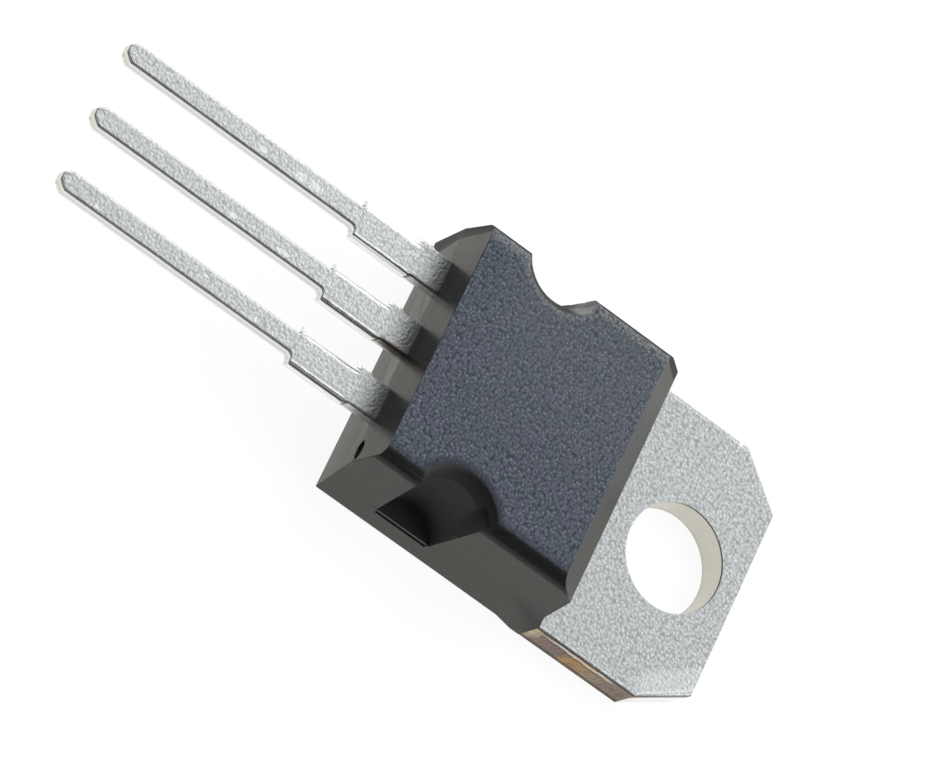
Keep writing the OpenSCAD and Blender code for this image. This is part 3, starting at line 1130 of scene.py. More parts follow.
@dataclass(frozen=True)
class MouldingCompound:
    """Black filled epoxy: spark-eroded texture on the top, smooth drafted faces."""

    name: str = "moulding_compound"
    smooth: Colour = (0.0075, 0.008, 0.007, 1.0)
    dusty: Colour = (0.019, 0.019, 0.017, 1.0)
    textured: Colour = (0.100, 0.127, 0.150, 1.0)
    violet: Colour = (0.113, 0.122, 0.166, 1.0)
    glint: Colour = (0.34, 0.38, 0.43, 1.0)
    pit_and_shade: Colour = (0.022, 0.027, 0.036, 1.0)
    pale: Colour = (0.20, 0.20, 0.185, 1.0)
    painted_light: Colour = (0.34, 0.335, 0.33, 1.0)
    smooth_roughness: float = 0.33
    textured_roughness: float = 0.6
    dull: float = 0.28
    ior: float = 1.43
    per_mm: float = 12.0
    glints: float = 0.3
    texture_height: float = 0.019
    dust_height: float = 0.004
    notch_x: tuple[float, float] = (5.16, -5.02)
    notch_mouth: float = 1.85
    ridge: tuple[float, float] = (2.67, 2.75)
    ridge_y: float = -12.48
    below_ridge: float = 2.0
    # The top: where its texture, its painted rim light, its painted shade and its painted light gradient
    # begin and end
    texture_from: Ramp = (BODY_TOP - 0.03, BODY_TOP - 0.003)
    far_lift: Ramp = (-3.9, -4.1, 0.0, 0.045)
    far_rim: Ramp = (-3.88, -4.1)
    near_shade: Ramp = (4.0, 4.25, 0.0, 0.5)
    light_across: Ramp = (3.5, -3.5, 0.0, 0.08)
    light_along: Ramp = (-12.3, -9.5)
    # The sides: the end face's far corner with painted light, the notches' walls with painted light on
    # their floors, and the far notch's end with a painted highlight
    corner_across: Ramp = (-3.1, -3.6, 0.0, 0.18)
    corner_edge: Ramp = (-4.5, -4.3)
    corner_along: Ramp = (-11.9, -12.1)
    recess_round: Ramp = (1.75, 1.55)
    recess_side: Ramp = (4.72, 4.6)
    recess_flare: Ramp = (1.35, 1.2, 0.0, 0.18)
    recess_floor: Ramp = (1.08, 1.1)
    # Painted light on the notches' shaded floors
    floor_light: Ramp = (1.3, 1.15, 0.0, 0.07)
    lit_wall_from: Ramp = (-8.95, -8.25, 0.0, 0.75)
    lit_wall_to: Ramp = (-7.6, -7.9)
    lit_wall_up: Ramp = (3.0, 3.9)
    lit_wall_side: Ramp = (-3.4, -3.7)
    far_side: Ramp = (-4.15, -4.25)
    # Shading that stands for slow roundings and for the end face's slope
    soft_span: Ramp = (3.78, 4.38, 0.2, 0.0)
    notch_span: tuple[float, float] = (-11.6, -6.9)
    end_tilt: float = 0.135
    tilt_from: float = 2.71

    def _from_notch(self, made: Surface, centre_x: float) -> Socket:
        """Gives how far a point is from the middle of a notch's upper rim.

        Args:
            made: The material under work.
            centre_x: Which notch, by its X.

        Returns:
            The distance in millimetres.
        """
        return made.graph.distance(made.place, (centre_x, NOTCH_Y, BODY_TOP))

    def _top_mask(self, made: Surface) -> Socket:
        """Gives the mask of the texture, which ends where the edges begin to round off.

        Args:
            made: The material under work.

        Returns:
            The mask socket.
        """
        graph = made.graph
        x, _, z = graph.parts(made.place)
        return graph.ramp(graph.plus(z, graph.ramp(x, *self.far_lift)), *self.texture_from)

    def _top_colour(self, made: Surface, tone: Socket, glint: Socket) -> Socket:
        """Makes the textured top, with painted light along its far rim and round the far notch, a painted
        light gradient towards the far side, and painted shade along its near rim and round the near notch.

        Args:
            made: The material under work.
            tone: The grain's tone.
            glint: The mask of the grain's glints.

        Returns:
            The colour.
        """
        graph, mouth = made.graph, self.notch_mouth
        x, y, _ = graph.parts(made.place)
        near, far = (self._from_notch(made, centre_x) for centre_x in self.notch_x)
        tone = graph.line(tone, 1.3, -0.15, clamp=True)
        drift = graph.ramp(graph.noise(made.place, 0.8, 3.0, 0.6), 0.4, 0.6)
        colour = graph.mix(tone, self.pit_and_shade, graph.mix(drift, self.textured, self.violet))
        # The glints are painted highlights
        colour = graph.mix(glint, colour, self.glint)
        # Painted light along the far rim and round the far notch, speckled by the grain
        rim = graph.most(graph.ramp(x, *self.far_rim), graph.ramp(far, mouth + 0.22, mouth, 0.0, 0.8))
        rim_light = graph.times(rim, graph.line(tone, 0.45, 0.05))
        # Painted light, growing towards the far side and away from the lead end
        far_light = graph.times(graph.ramp(x, *self.light_across), graph.ramp(y, *self.light_along))
        colour = graph.mix(graph.most(rim_light, far_light), colour, self.painted_light)
        # Painted shade round the near notch and along the near rim
        shade = graph.ramp(near, mouth + 0.28, mouth, 0.0, 0.85)
        return graph.mix(graph.most(shade, graph.ramp(x, *self.near_shade)), colour, self.pit_and_shade)

    def _recess(self, made: Surface) -> Socket:
        """Gives the mask of the notches' walls, which are duller than the sides.

        Args:
            made: The material under work.

        Returns:
            The mask socket.
        """
        graph = made.graph
        x, _, z = graph.parts(made.place)
        level = graph.stretched(made.place, (1.0, 1.0, 0.0))
        recess: Any = 0.0
        for centre_x in self.notch_x:
            away = graph.distance(level, (centre_x, NOTCH_Y, 0.0))
            recess = graph.most(recess, graph.ramp(away, *self.recess_round))
        flare = graph.ramp(z, *self.recess_flare)
        inward = graph.ramp(graph.minus(graph.math("ABSOLUTE", x), flare), *self.recess_side)
        return graph.times(recess, graph.times(inward, graph.ramp(z, *self.recess_floor)))

    def _end_light(self, made: Surface, effects: Effects) -> Socket:
        """Gives the mask of the painted highlight along the end face's ridge, and of the painted light
        below it and on its far corner.

        Args:
            made: The material under work.
            effects: The shared groups.

        Returns:
            The mask socket.
        """
        graph, end = made.graph, self.ridge_y
        x, y, z = graph.parts(made.place)
        ridge = graph.times(made.mask(effects, z, *self.ridge, 0.02), graph.ramp(y, end + 0.02, end))
        below = made.mask(effects, z, self.below_ridge, self.ridge[1], 0.3)
        below = graph.times(below, graph.ramp(y, end + 0.2, end))
        corner = graph.times(graph.ramp(x, *self.corner_across), graph.ramp(y, *self.corner_along))
        corner = graph.times(corner, graph.ramp(x, *self.corner_edge))
        return graph.most(graph.times(ridge, 0.6), graph.times(below, 0.2), corner)

    def _far_wall_highlight(self, made: Surface) -> Socket:
        """Gives the mask of the painted highlight on the far notch's wall, at its end towards the tab.

        Args:
            made: The material under work.

        Returns:
            The mask socket.
        """
        graph = made.graph
        x, y, z = graph.parts(made.place)
        far = self._from_notch(made, self.notch_x[1])
        return graph.times(
            graph.ramp(y, *self.lit_wall_from), graph.ramp(z, *self.lit_wall_up),
            graph.ramp(x, *self.lit_wall_side), graph.ramp(y, *self.lit_wall_to),
            graph.ramp(far, self.notch_mouth + 0.1, self.notch_mouth - 0.05),
        )

    def _easing(self, made: Surface, effects: Effects) -> Socket:
        """Gives the height that rounds the long edges and notch rims and tilts the end face.

        Args:
            made: The material under work.
            effects: The shared groups.

        Returns:
            The height in millimetres.
        """
        graph = made.graph
        y, z = graph.parts(made.place)[1:]
        across, along, up = graph.parts(made.facing)
        notched = made.mask(effects, y, *self.notch_span, 0.1)
        notched = graph.times(graph.ramp(graph.math("ABSOLUTE", up), 0.9, 0.6), notched)
        beside = graph.most(graph.ramp(graph.math("ABSOLUTE", across), 0.1, 0.4), notched)
        easing = graph.times(graph.ramp(z, *self.soft_span), beside)
        lean = graph.times(graph.most(graph.minus(z, self.tilt_from), 0.0), self.end_tilt)
        return graph.line(lean, graph.ramp(along, -0.6, -0.9), easing)

    def build(self, effects: Effects) -> bpy.types.Material:
        """Makes the material.

        Args:
            effects: The shared groups.

        Returns:
            The material.
        """
        made = Surface(self.name)
        graph = made.graph
        x, y, z = graph.parts(made.place)
        tone, glint, height = made.grain(effects, self.per_mm, self.glints)
        # The dust is read at a turned place, so that it has no streaks on the upright faces
        turned = {"X": graph.minus(x, y), "Y": z, "Z": graph.plus(x, y)}
        place = graph.add("ShaderNodeCombineXYZ", turned).outputs[0]
        dust = graph.group(effects.grain, {"Place": place, "Per mm": 7.0, "Glints": 0.1})
        recess, top = self._recess(made), self._top_mask(made)
        colour = graph.mix(graph.times(dust.outputs[0], 0.6), self.smooth, self.dusty)
        # Painted highlight on the end face's ridge, and painted light below it and on its far corner
        colour = graph.mix(self._end_light(made, effects), colour, self.pale)
        # Painted light on the notches' shaded floors
        colour = graph.mix(graph.times(recess, graph.ramp(z, *self.floor_light)), colour, self.pale)
        # Painted highlight on the far notch's wall
        colour = graph.mix(self._far_wall_highlight(made), colour, self.painted_light)
        flow = graph.noise(graph.stretched(made.place, (0.5, 0.9, 2.4)), 1.3, 3.0, 0.55)
        shine = graph.plus(graph.times(flow, 0.12), self.smooth_roughness - 0.06)
        shine = graph.line(graph.most(recess, graph.ramp(x, *self.far_side)), self.dull, shine)
        made.set(
            Base_Color=graph.mix(top, colour, self._top_colour(made, tone, glint)),
            Roughness=graph.blend(top, shine, self.textured_roughness), IOR=self.ior,
        )
        fine = graph.times(dust.outputs[2], self.dust_height)
        texture = graph.blend(top, fine, graph.times(height, self.texture_height))
        made.bump(graph.plus(texture, self._easing(made, effects)), 1.0)
        return made.material


@dataclass(frozen=True)
class PlainMetal:
    """A simple metal with a little grain, for the sealed inner parts."""

    name: str
    colour: Colour
    roughness: float
    metallic: float = 1.0

    def build(self, effects: Effects) -> bpy.types.Material:
        """Makes the material.

        Args:
            effects: The shared groups.

        Returns:
            The material.
        """
        made = Surface(self.name)
        tone, _, height = made.grain(effects, 14.0, 0.1)
        deep = tuple(0.75 * part for part in self.colour[:3]) + (1.0,)
        made.set(
            Base_Color=made.graph.mix(tone, deep, self.colour), Metallic=self.metallic,
            Roughness=made.graph.line(tone, 0.08, self.roughness),
        )
        made.bump(height, 0.005, 0.3)
        return made.material


# --------------------------------------------------------------------------
# Mesh work
# --------------------------------------------------------------------------


class Blank:
    """A mesh under work, in millimetres, that becomes one finished piece."""

    MERGE_WITHIN = 2e-4
    FLAT_WITHIN = math.radians(0.4)

    def __init__(self) -> None:
        """Starts empty."""
        self.work = bmesh.new()

    def take_node(self, node: str, behind: float | None = None) -> None:
        """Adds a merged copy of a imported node's mesh, cut off in front of a plane.

        Args:
            node: The node's name.
            behind: If given, only what lies beyond this Y is kept, and the cut is closed.
        """
        part = bmesh.new()
        part.from_mesh(frame["nodes"][node].data)
        part.transform(Matrix.Scale(MM_PER_METRE, 4))
        bmesh.ops.remove_doubles(part, verts=part.verts, dist=self.MERGE_WITHIN)
        bmesh.ops.dissolve_limit(
            part, angle_limit=self.FLAT_WITHIN, verts=part.verts, edges=part.edges,
        )
        if behind is not None:
            whole = part.verts[:] + part.edges[:] + part.faces[:]
            bmesh.ops.bisect_plane(
                part, geom=whole, plane_co=(0, behind, 0), plane_no=(0, 1, 0), clear_inner=True,
            )
            rims = [edge for edge in part.edges if edge.is_boundary]
            bmesh.ops.holes_fill(part, edges=rims)
        carrier = bpy.data.meshes.new("carrier")
        part.to_mesh(carrier)
        part.free()
        self.work.from_mesh(carrier)
        bpy.data.meshes.remove(carrier)

    def loft(self, rings: Sequence[Sequence[Vec3]]) -> None:
        """Adds a closed skin through rings that all have the same number of points.

        Args:
            rings: The rings, from one end to the other.
        """
        rows = [[self.work.verts.new(point) for point in ring] for ring in rings]
        count = len(rows[0])
        for near, far in zip(rows, rows[1:]):
            for i in range(count):
                j = (i + 1) % count
                self.work.faces.new((near[i], near[j], far[j], far[i]))
        first = self.work.faces.new(rows[0][::-1])
        last = self.work.faces.new(rows[-1])
        faces = {face for row in rows for vert in row for face in vert.link_faces} | {first, last}
        bmesh.ops.recalc_face_normals(self.work, faces=list(faces))

    def break_edges(
        self, width: float, segments: int, chosen: Callable[[bmesh.types.BMEdge], bool],
    ) -> int:
        """Rounds the chosen edges.

        Args:
            width: Width of the rounding.
            segments: Steps across it.
            chosen: Says whether an edge is rounded.

        Returns:
            How many edges were rounded.
        """
        edges = [edge for edge in self.work.edges if len(edge.link_faces) == 2 and chosen(edge)]
        if edges:
            bmesh.ops.bevel(
                self.work, geom=edges, offset=width, offset_type="OFFSET", segments=segments,
                profile=0.5, affect="EDGES", clamp_overlap=False, loop_slide=True,
            )
        return len(edges)

    def finish(
        self, name: str, materials: Sequence[bpy.types.Material],
        choose: Callable[[Vector, Vector], int] | None = None, smooth_to: float = 32.0,
    ) -> bpy.types.Object:
        """Turns the work into an object with materials and even shading.

        Args:
            name: The object's name.
            materials: The materials, in slot order.
            choose: Gives a face's slot from its centre and its normal.
            smooth_to: Edges sharper than this, in degrees, stay sharp.

        Returns:
            The object, in metres, at the origin.
        """
        work = self.work
        work.normal_update()
        for face in work.faces:
            face.smooth = True
            if choose:
                face.material_index = choose(face.calc_center_median(), face.normal)
        limit = math.radians(smooth_to)
        for edge in work.edges:
            edge.smooth = len(edge.link_faces) == 2 and edge.calc_face_angle(0.0) < limit
        work.transform(Matrix.Scale(MM, 4))
        mesh = bpy.data.meshes.new(name)
        work.to_mesh(mesh)
        work.free()
        for material in materials:
            mesh.materials.append(material)
        made = bpy.data.objects.new(name, mesh)
        bpy.context.scene.collection.objects.link(made)
        weights = made.modifiers.new("even_shading", "WEIGHTED_NORMAL")
        weights.keep_sharp = True
        bake_modifiers(made)
        return made


def bake_modifiers(made: bpy.types.Object) -> None:
    """Turns an object's modifiers into its plain mesh.

    Args:
        made: The object.
    """
    bpy.context.view_layer.update()
    shown = made.evaluated_get(bpy.context.evaluated_depsgraph_get())
    baked = bpy.data.meshes.new_from_object(shown)
    baked.name = made.name
    made.modifiers.clear()
    old = made.data
    made.data = baked
    bpy.data.meshes.remove(old)


def settle(made: bpy.types.Object, node: str) -> None:
    """Ties a finished piece to the frame and reports it.

    Args:
        made: The piece.
        node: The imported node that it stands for.
    """
    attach(made, ROOT)
    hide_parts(node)
    LOG.info("%s: %d faces, stands for %s", made.name, len(made.data.polygons), node)


# --------------------------------------------------------------------------
# Leads
# --------------------------------------------------------------------------


@dataclass(frozen=True)
class Station:
    """One cross-section of a lead: its sides, its rolled top edges and how far it is thinned."""

    y: float
    left: float
    right: float
    roll_left: float = 0.09
    drop_left: float = 0.07
    roll_right: float = 0.055
    drop_right: float = 0.07
    sink: float = 0.0
    lift: float = 0.0


@dataclass(frozen=True)
class Flake:
    """A thin burr: its root's place and width, how far it stands out and leans along the lead."""

    y: float
    lean: float
    length: float
    width: float
    across: float


@dataclass
class LeadBlade:
    """The visible blade of one stamped lead, in millimetres."""

    centre_x: float
    low: float = LEAD_LOW
    high: float = LEAD_HIGH
    half: float = 0.375
    near_half: float = 0.65
    cut_left: float = 0.58
    cut_right: float = 0.7
    tip_y: float = -25.76
    tip_cut: float = 0.3
    tip_side: float = 0.27
    shoulder_y: float = SHOULDER_Y
    shoulder_run: float = 0.18
    shoulder_rise: float = 0.12
    tie_y: float = -13.71
    burr: float = 0.05
    end_y: float = BLADE_END_Y
    arc_steps: int = 5
    corner: float = 0.02
    narrow_steps: int = 14
    narrow_sway: float = 0.006
    cut_shares: tuple[float, ...] = (0.12, 0.25, 0.4, 0.55, 0.7, 0.85)
    cut_wave: float = 0.02
    seed: int = 3
    flakes: tuple[Flake, ...] = (
        Flake(-16.08, -0.07, 0.17, 0.26, -0.45),
        Flake(-13.72, -0.2, 0.16, 0.3, -0.62),
        Flake(-13.3, -0.12, 0.08, 0.2, -0.64),
    )

    def _narrow(self) -> list[Station]:
        """Lists the sections of the narrow part, from the cropped tip to the shoulder.

        Returns:
            The sections in order.
        """
        half, side, tip, cut = self.half, self.tip_side, self.tip_y, self.tip_cut
        rows = [
            Station(tip, -half + side * 0.7, half - side, sink=0.05, lift=0.03),
            Station(tip + 0.03, -half + side * 0.63, half - side * 0.9, sink=0.015, lift=0.01),
            Station(tip + cut * 0.55, -half + 0.06, half - 0.1),
            Station(tip + cut, -half, half),
            Station(tip + cut + 0.08, -half, half),
        ]
        start = rows[-1].y
        reach = self.shoulder_y - self.shoulder_run - start
        for i in range(1, self.narrow_steps):
            sway = self.narrow_sway * math.sin(i * 2.3 + self.seed) * math.cos(i * 0.7 + self.centre_x)
            rows.append(Station(
                start + reach * i / self.narrow_steps, -half + abs(sway) * 0.5, half - abs(sway),
                roll_right=0.055 + sway, drop_right=0.07 + sway,
            ))
        return rows

    def _cut(self) -> list[Station]:
        """Lists the sections of the shoulder and of the wide part where the tie bar was cut off.

        Returns:
            The sections in order.
        """
        half, top, rise, run = self.half, self.shoulder_y, self.shoulder_rise, self.shoulder_run
        left, right = -self.cut_left, self.cut_right - 0.006
        rows = [
            Station(top - run, -half, half),
            Station(top - run * 0.5, -half - rise * 0.22, half + rise * 0.25),
            Station(top - run * 0.2, -half - rise * 0.6, half + rise * 0.62),
            Station(top, -half - rise, half + rise),
            Station(top + 0.004, left, self.cut_right - 0.04, 0.2, 0.3, 0.04, 0.05),
            Station(top + 0.035, left, right, 0.26, 0.34, 0.055, 0.1),
        ]
        for share in self.cut_shares:
            wave = self.cut_wave * math.sin(share * 23.0 + self.seed + self.centre_x)
            y = top + (self.tie_y - top) * share
            rows.append(Station(y, left, right, 0.26 + wave, 0.34, 0.06 + wave * 0.5, 0.11 + wave))
        rows.append(Station(self.tie_y - 0.01, left, right, 0.22, 0.3, 0.05, 0.1))
        return rows

    def _root(self) -> list[Station]:
        """Lists the sections beside and inside the moulding, behind the cut.

        Returns:
            The sections in order.
        """
        half, tie, slope = self.near_half, self.tie_y, self.cut_right - self.near_half
        rows = [
            Station(tie, -half, self.cut_right - 0.02, 0.06, 0.06, 0.05, 0.08),
            Station(tie + slope, -half - self.burr, half, 0.04, 0.05, 0.05, 0.07),
            Station(tie + 0.16, -half - self.burr * 0.6, half, 0.05, 0.05, 0.06, 0.07),
        ]
        for y in (tie + 0.3, tie + 0.8, self.end_y):
            rows.append(Station(y, -half, half, 0.05, 0.05, 0.06, 0.07))
        return rows

    def stations(self) -> list[Station]:
        """Lists the blade's sections in order, from its tip to inside the body."""
        return self._narrow() + self._cut() + self._root()

    def _arc(
        self, edge: float, roll: float, high: float, drop: float, up: bool,
    ) -> list[tuple[float, float]]:
        """Makes the points of a rolled top edge.

        Args:
            edge: The side's place across the lead.
            roll: How far the rolling reaches inwards, negative on the left.
            high: The top's height.
            drop: How far it reaches down.
            up: Whether the points run upwards.

        Returns:
            The points, across and up.
        """
        steps = range(self.arc_steps + 1) if up else range(self.arc_steps, -1, -1)
        turns = [math.pi / 2 * i / self.arc_steps for i in steps]
        return [(edge - roll * (1 - math.cos(turn)), high - drop * (1 - math.sin(turn))) for turn in turns]

    def ring(self, row: Station) -> list[Vec3]:
        """Makes the outline of one section.

        Args:
            row: The section.

        Returns:
            Its points, all the way round.
        """
        low, high, corner = self.low + row.lift, self.high - row.sink, self.corner
        points = [(row.left + corner, low), (row.right - corner, low), (row.right, low + corner)]
        points += self._arc(row.right, row.roll_right, high, row.drop_right, up=True)
        points += [(row.right - row.roll_right - 0.02, high), (row.left + row.roll_left + 0.02, high)]
        points += self._arc(row.left, -row.roll_left, high, row.drop_left, up=False)
        points.append((row.left, low + corner))
        return [(self.centre_x + x, row.y, z) for x, z in points]

    def flake_rings(self, flake: Flake) -> list[list[Vec3]]:
        """Makes a thin burr that stands out from the left side of the blade.

        Args:
            flake: Its sizes.

        Returns:
            Its sections, from the root to the point.
        """
        sunk = 0.04
        root = self.centre_x + flake.across + sunk
        rings = []
        for share, thick in ((0.0, 1.0), (0.35, 0.7), (0.7, 0.5), (1.0, 0.2)):
            x, middle = root - (flake.length + sunk) * share, flake.y + flake.lean * share * share
            half = flake.width / 2 * thick
            low, high = self.high - 0.075 + 0.02 * share, self.high - 0.012 - 0.02 * share
            rings.append([
                (x, middle - half, low), (x, middle + half, low),
                (x, middle + half, high), (x, middle - half, high),
            ])
        return rings

    def shape(self, blank: Blank) -> None:
        """Adds the blade and its burrs to a mesh under work.

        Args:
            blank: The mesh under work.
        """
        blank.loft([self.ring(row) for row in self.stations()])
        for flake in self.flakes:
            blank.loft(self.flake_rings(flake))


def is_cut_side(centre: Vector, normal: Vector) -> int:
    """Says whether a lead's face is on a cut side outside the moulding: 1 if so, else 0.

    Args:
        centre: The face's centre.
        normal: The face's normal.

    Returns:
        The material slot.
    """
    return 1 if centre.y < BLADE_END_Y and abs(normal.z) < 0.35 else 0


@dataclass
class OuterLead:
    """One outer lead: its blade, and its root and post inside the moulding."""

    node: str
    centre_x: float

    def build(self, tin: bpy.types.Material, cut: bpy.types.Material) -> bpy.types.Object:
        """Builds and dresses the lead.

        Args:
            tin: The plating.
            cut: The cut sides.

        Returns:
            The finished piece.
        """
        blank = Blank()
        blank.take_node(self.node, behind=SPLIT_Y)
        LeadBlade(self.centre_x).shape(blank)
        made = blank.finish(self.node + "_stamping", [tin, cut], is_cut_side)
        settle(made, self.node)
        return made


# --------------------------------------------------------------------------
# Tab
# --------------------------------------------------------------------------


class TabFinish(Enum):
    """Finishes of the tab's faces, as their material slots."""

    PLATED = 0
    COPPER = 1
    CUT_TAB = 2
    CUT_LEAD = 3
    HOLE = 4
    PLATED_LEAD = 5


@dataclass
class HeatTab:
    """Tab, chip pad and centre lead: one stamping with rolled top edges."""

    node: str = "heat_tab"
    half: float = TAB_HALF
    front: float = TAB_FRONT
    foot_y: float = TAB_FOOT_Y
    hole_r: float = 1.9
    roll: float = 0.07
    hole_roll: float = 0.05
    shear_inset: float = SHEAR_INSET
    corner_y: float = 0.82
    near: float = 1e-3

    def _rolled(self, edge: bmesh.types.BMEdge) -> bool:
        """Says whether an edge is on the tab's front outline.

        Args:
            edge: The edge.

        Returns:
            True for the outline's top edges beside the moulding.
        """
        ends = [vert.co for vert in edge.verts]
        if any(abs(co.z - self.front) > self.near or co.y < self.foot_y - self.near for co in ends):
            return False
        if all(abs(co.y - self.foot_y) < self.near for co in ends):
            return False
        outside = all(math.hypot(co.x, co.y) > self.hole_r + 0.1 for co in ends)
        return outside and edge.calc_face_angle(0.0) > 0.5

    def _hole_edge(self, edge: bmesh.types.BMEdge) -> bool:
        """Says whether an edge is on the hole's rim, front or back.

        Args:
            edge: The edge.

        Returns:
            True for both rims.
        """
        ends = [vert.co for vert in edge.verts]
        flat = abs(ends[0].z - ends[1].z) < self.near
        return flat and all(abs(math.hypot(co.x, co.y) - self.hole_r) < 0.02 for co in ends)

    def _slot_of(self, centre: Vector, normal: Vector) -> int:
        """Gives the slot of a face's finish.

        Args:
            centre: The face's centre.
            normal: The face's normal.

        Returns:
            The material slot.
        """
        beside = abs(centre.x) > self.half - self.shear_inset - self.roll and abs(normal.y) < 0.2
        if centre.y < BLADE_END_Y:
            finish = TabFinish.CUT_LEAD if is_cut_side(centre, normal) else TabFinish.PLATED_LEAD
        elif abs(normal.z) > 0.8 or centre.y < self.foot_y:
            finish = TabFinish.PLATED
        elif math.hypot(centre.x, centre.y) < self.hole_r + 0.02:
            finish = TabFinish.HOLE
        else:
            copper = beside and centre.y < self.corner_y + 0.02
            finish = TabFinish.COPPER if copper else TabFinish.CUT_TAB
        return finish.value

    def build(self, finishes: dict[TabFinish, bpy.types.Material]) -> bpy.types.Object:
        """Builds and dresses the tab.

        Args:
            finishes: Each finish's material.

        Returns:
            The finished piece.
        """
        blank = Blank()
        blank.take_node(self.node, behind=SPLIT_Y)
        for vert in blank.work.verts:
            if abs(vert.co.x) > self.half - self.near and vert.co.y > self.foot_y - self.near:
                vert.co.x -= math.copysign(self.shear_inset, vert.co.x)
        rims = blank.break_edges(self.hole_roll, 3, self._hole_edge)
        rolls = blank.break_edges(self.roll, 4, self._rolled)
        LOG.info("heat tab: %d hole edges and %d outline edges rounded", rims, rolls)
        LeadBlade(0.0, seed=5).shape(blank)
        materials = [finishes[finish] for finish in TabFinish]
        made = blank.finish(self.node + "_stamping", materials, self._slot_of)
        settle(made, self.node)
        return made


@dataclass
class ShearRidges:
    """Fine upright ridges that shearing leaves on the tab's sides, made by one node tree."""

    node: str = "heat_tab"
    slot: str = "plated_copper"
    beside: float = TAB_HALF - SHEAR_INSET
    span: tuple[float, float] = (-3.2, 0.7)
    middle: float = 0.55
    count: int = 90
    depth: float = 0.012
    width: float = 0.045
    height: float = 0.7
    shift: Vec3 = (0.0, 0.04, 0.1)
    smallest: Vec3 = (0.5, 0.4, 0.35)
    largest: Vec3 = (1.0, 1.2, 1.0)
    seed: int = 11
    inputs: dict[str, tuple[Kind, Any]] = field(default_factory=lambda: {
        "Start": (Kind.VECTOR, (0.0, 0.0, 0.0)),
        "End": (Kind.VECTOR, (0.0, 0.001, 0.0)),
        "Count": (Kind.WHOLE, 20),
        "Depth": (Kind.VALUE, 0.00001),
        "Width": (Kind.VALUE, 0.00003),
        "Height": (Kind.VALUE, 0.0004),
        "Seed": (Kind.WHOLE, 1),
        "Finish": (Kind.MATERIAL, None),
    })

    def tree(self) -> bpy.types.NodeTree:
        """Builds the geometry node tree.

        Returns:
            The tree, with the named inputs of this class.
        """
        tree = bpy.data.node_groups.new("shear_ridges", "GeometryNodeTree")
        for label, (kind, default) in self.inputs.items():
            socket = tree.interface.new_socket(label, in_out="INPUT", socket_type=kind.value)
            if default is not None:
                socket.default_value = default
        tree.interface.new_socket("Ridges", in_out="OUTPUT", socket_type=Kind.GEOMETRY.value)
        graph = Graph(tree)
        given, result = tree.nodes.new("NodeGroupInput"), tree.nodes.new("NodeGroupOutput")
        start, end, count, depth, width, height, seed, finish = given.outputs[:8]
        ends = {"Count": count, "Start Location": start, "Offset": end}
        line = graph.add("GeometryNodeMeshLine", ends, mode="END_POINTS")
        reach = [part * MM for part in self.shift]
        ranges = {0: [-part for part in reach], 1: reach, "Seed": seed}
        shift = graph.add("FunctionNodeRandomValue", ranges, data_type="FLOAT_VECTOR")
        moved = graph.add(
            "GeometryNodeSetPosition", {"Geometry": line.outputs[0], "Offset": shift.outputs[0]},
        )
        size = graph.add("ShaderNodeCombineXYZ", {0: depth, 1: width, 2: height})
        bar = graph.add("GeometryNodeMeshCube", {"Size": size.outputs[0]})
        other_seed = graph.add("FunctionNodeIntegerMath", {0: seed, 1: 7}).outputs[0]
        ranges = {0: self.smallest, 1: self.largest, "Seed": other_seed}
        stretch = graph.add("FunctionNodeRandomValue", ranges, data_type="FLOAT_VECTOR")
        placed = graph.add(
            "GeometryNodeInstanceOnPoints",
            {"Points": moved.outputs[0], "Instance": bar.outputs[0], "Scale": stretch.outputs[0]},
        )
        real = graph.add("GeometryNodeRealizeInstances", {0: placed.outputs[0]})
        dressed = graph.add("GeometryNodeSetMaterial", {"Geometry": real.outputs[0], "Material": finish})
        graph.feed(result.inputs[0], dressed.outputs[0])
        return tree

    def build(
        self, tree: bpy.types.NodeTree, name: str, side: int, finish: bpy.types.Material,
    ) -> bpy.types.Object:
        """Makes one row of ridges as a plain mesh.

        Args:
            tree: The node tree.
            name: The piece's name.
            side: 1 for the tab's right side, -1 for its left.
            finish: Their material.

        Returns:
            The finished piece.
        """
        made = bpy.data.objects.new(name, bpy.data.meshes.new(name))
        bpy.context.scene.collection.objects.link(made)
        row = made.modifiers.new("ridges", "NODES")
        row.node_group = tree
        start, end = ((side * self.beside, y, self.middle) for y in self.span)
        values = {
            "Start": [part * MM for part in start], "End": [part * MM for part in end],
            "Count": self.count, "Depth": self.depth * MM, "Width": self.width * MM,
            "Height": self.height * MM, "Seed": self.seed, "Finish": finish,
        }
        items = tree.interface.items_tree
        sockets = {item.name: item.identifier for item in items if item.in_out == "INPUT"}
        for label, value in values.items():
            row[sockets[label]] = value
        bake_modifiers(made)
        settle(made, self.node)
        return made


# --------------------------------------------------------------------------
# Moulded body, chip and bonds
# --------------------------------------------------------------------------


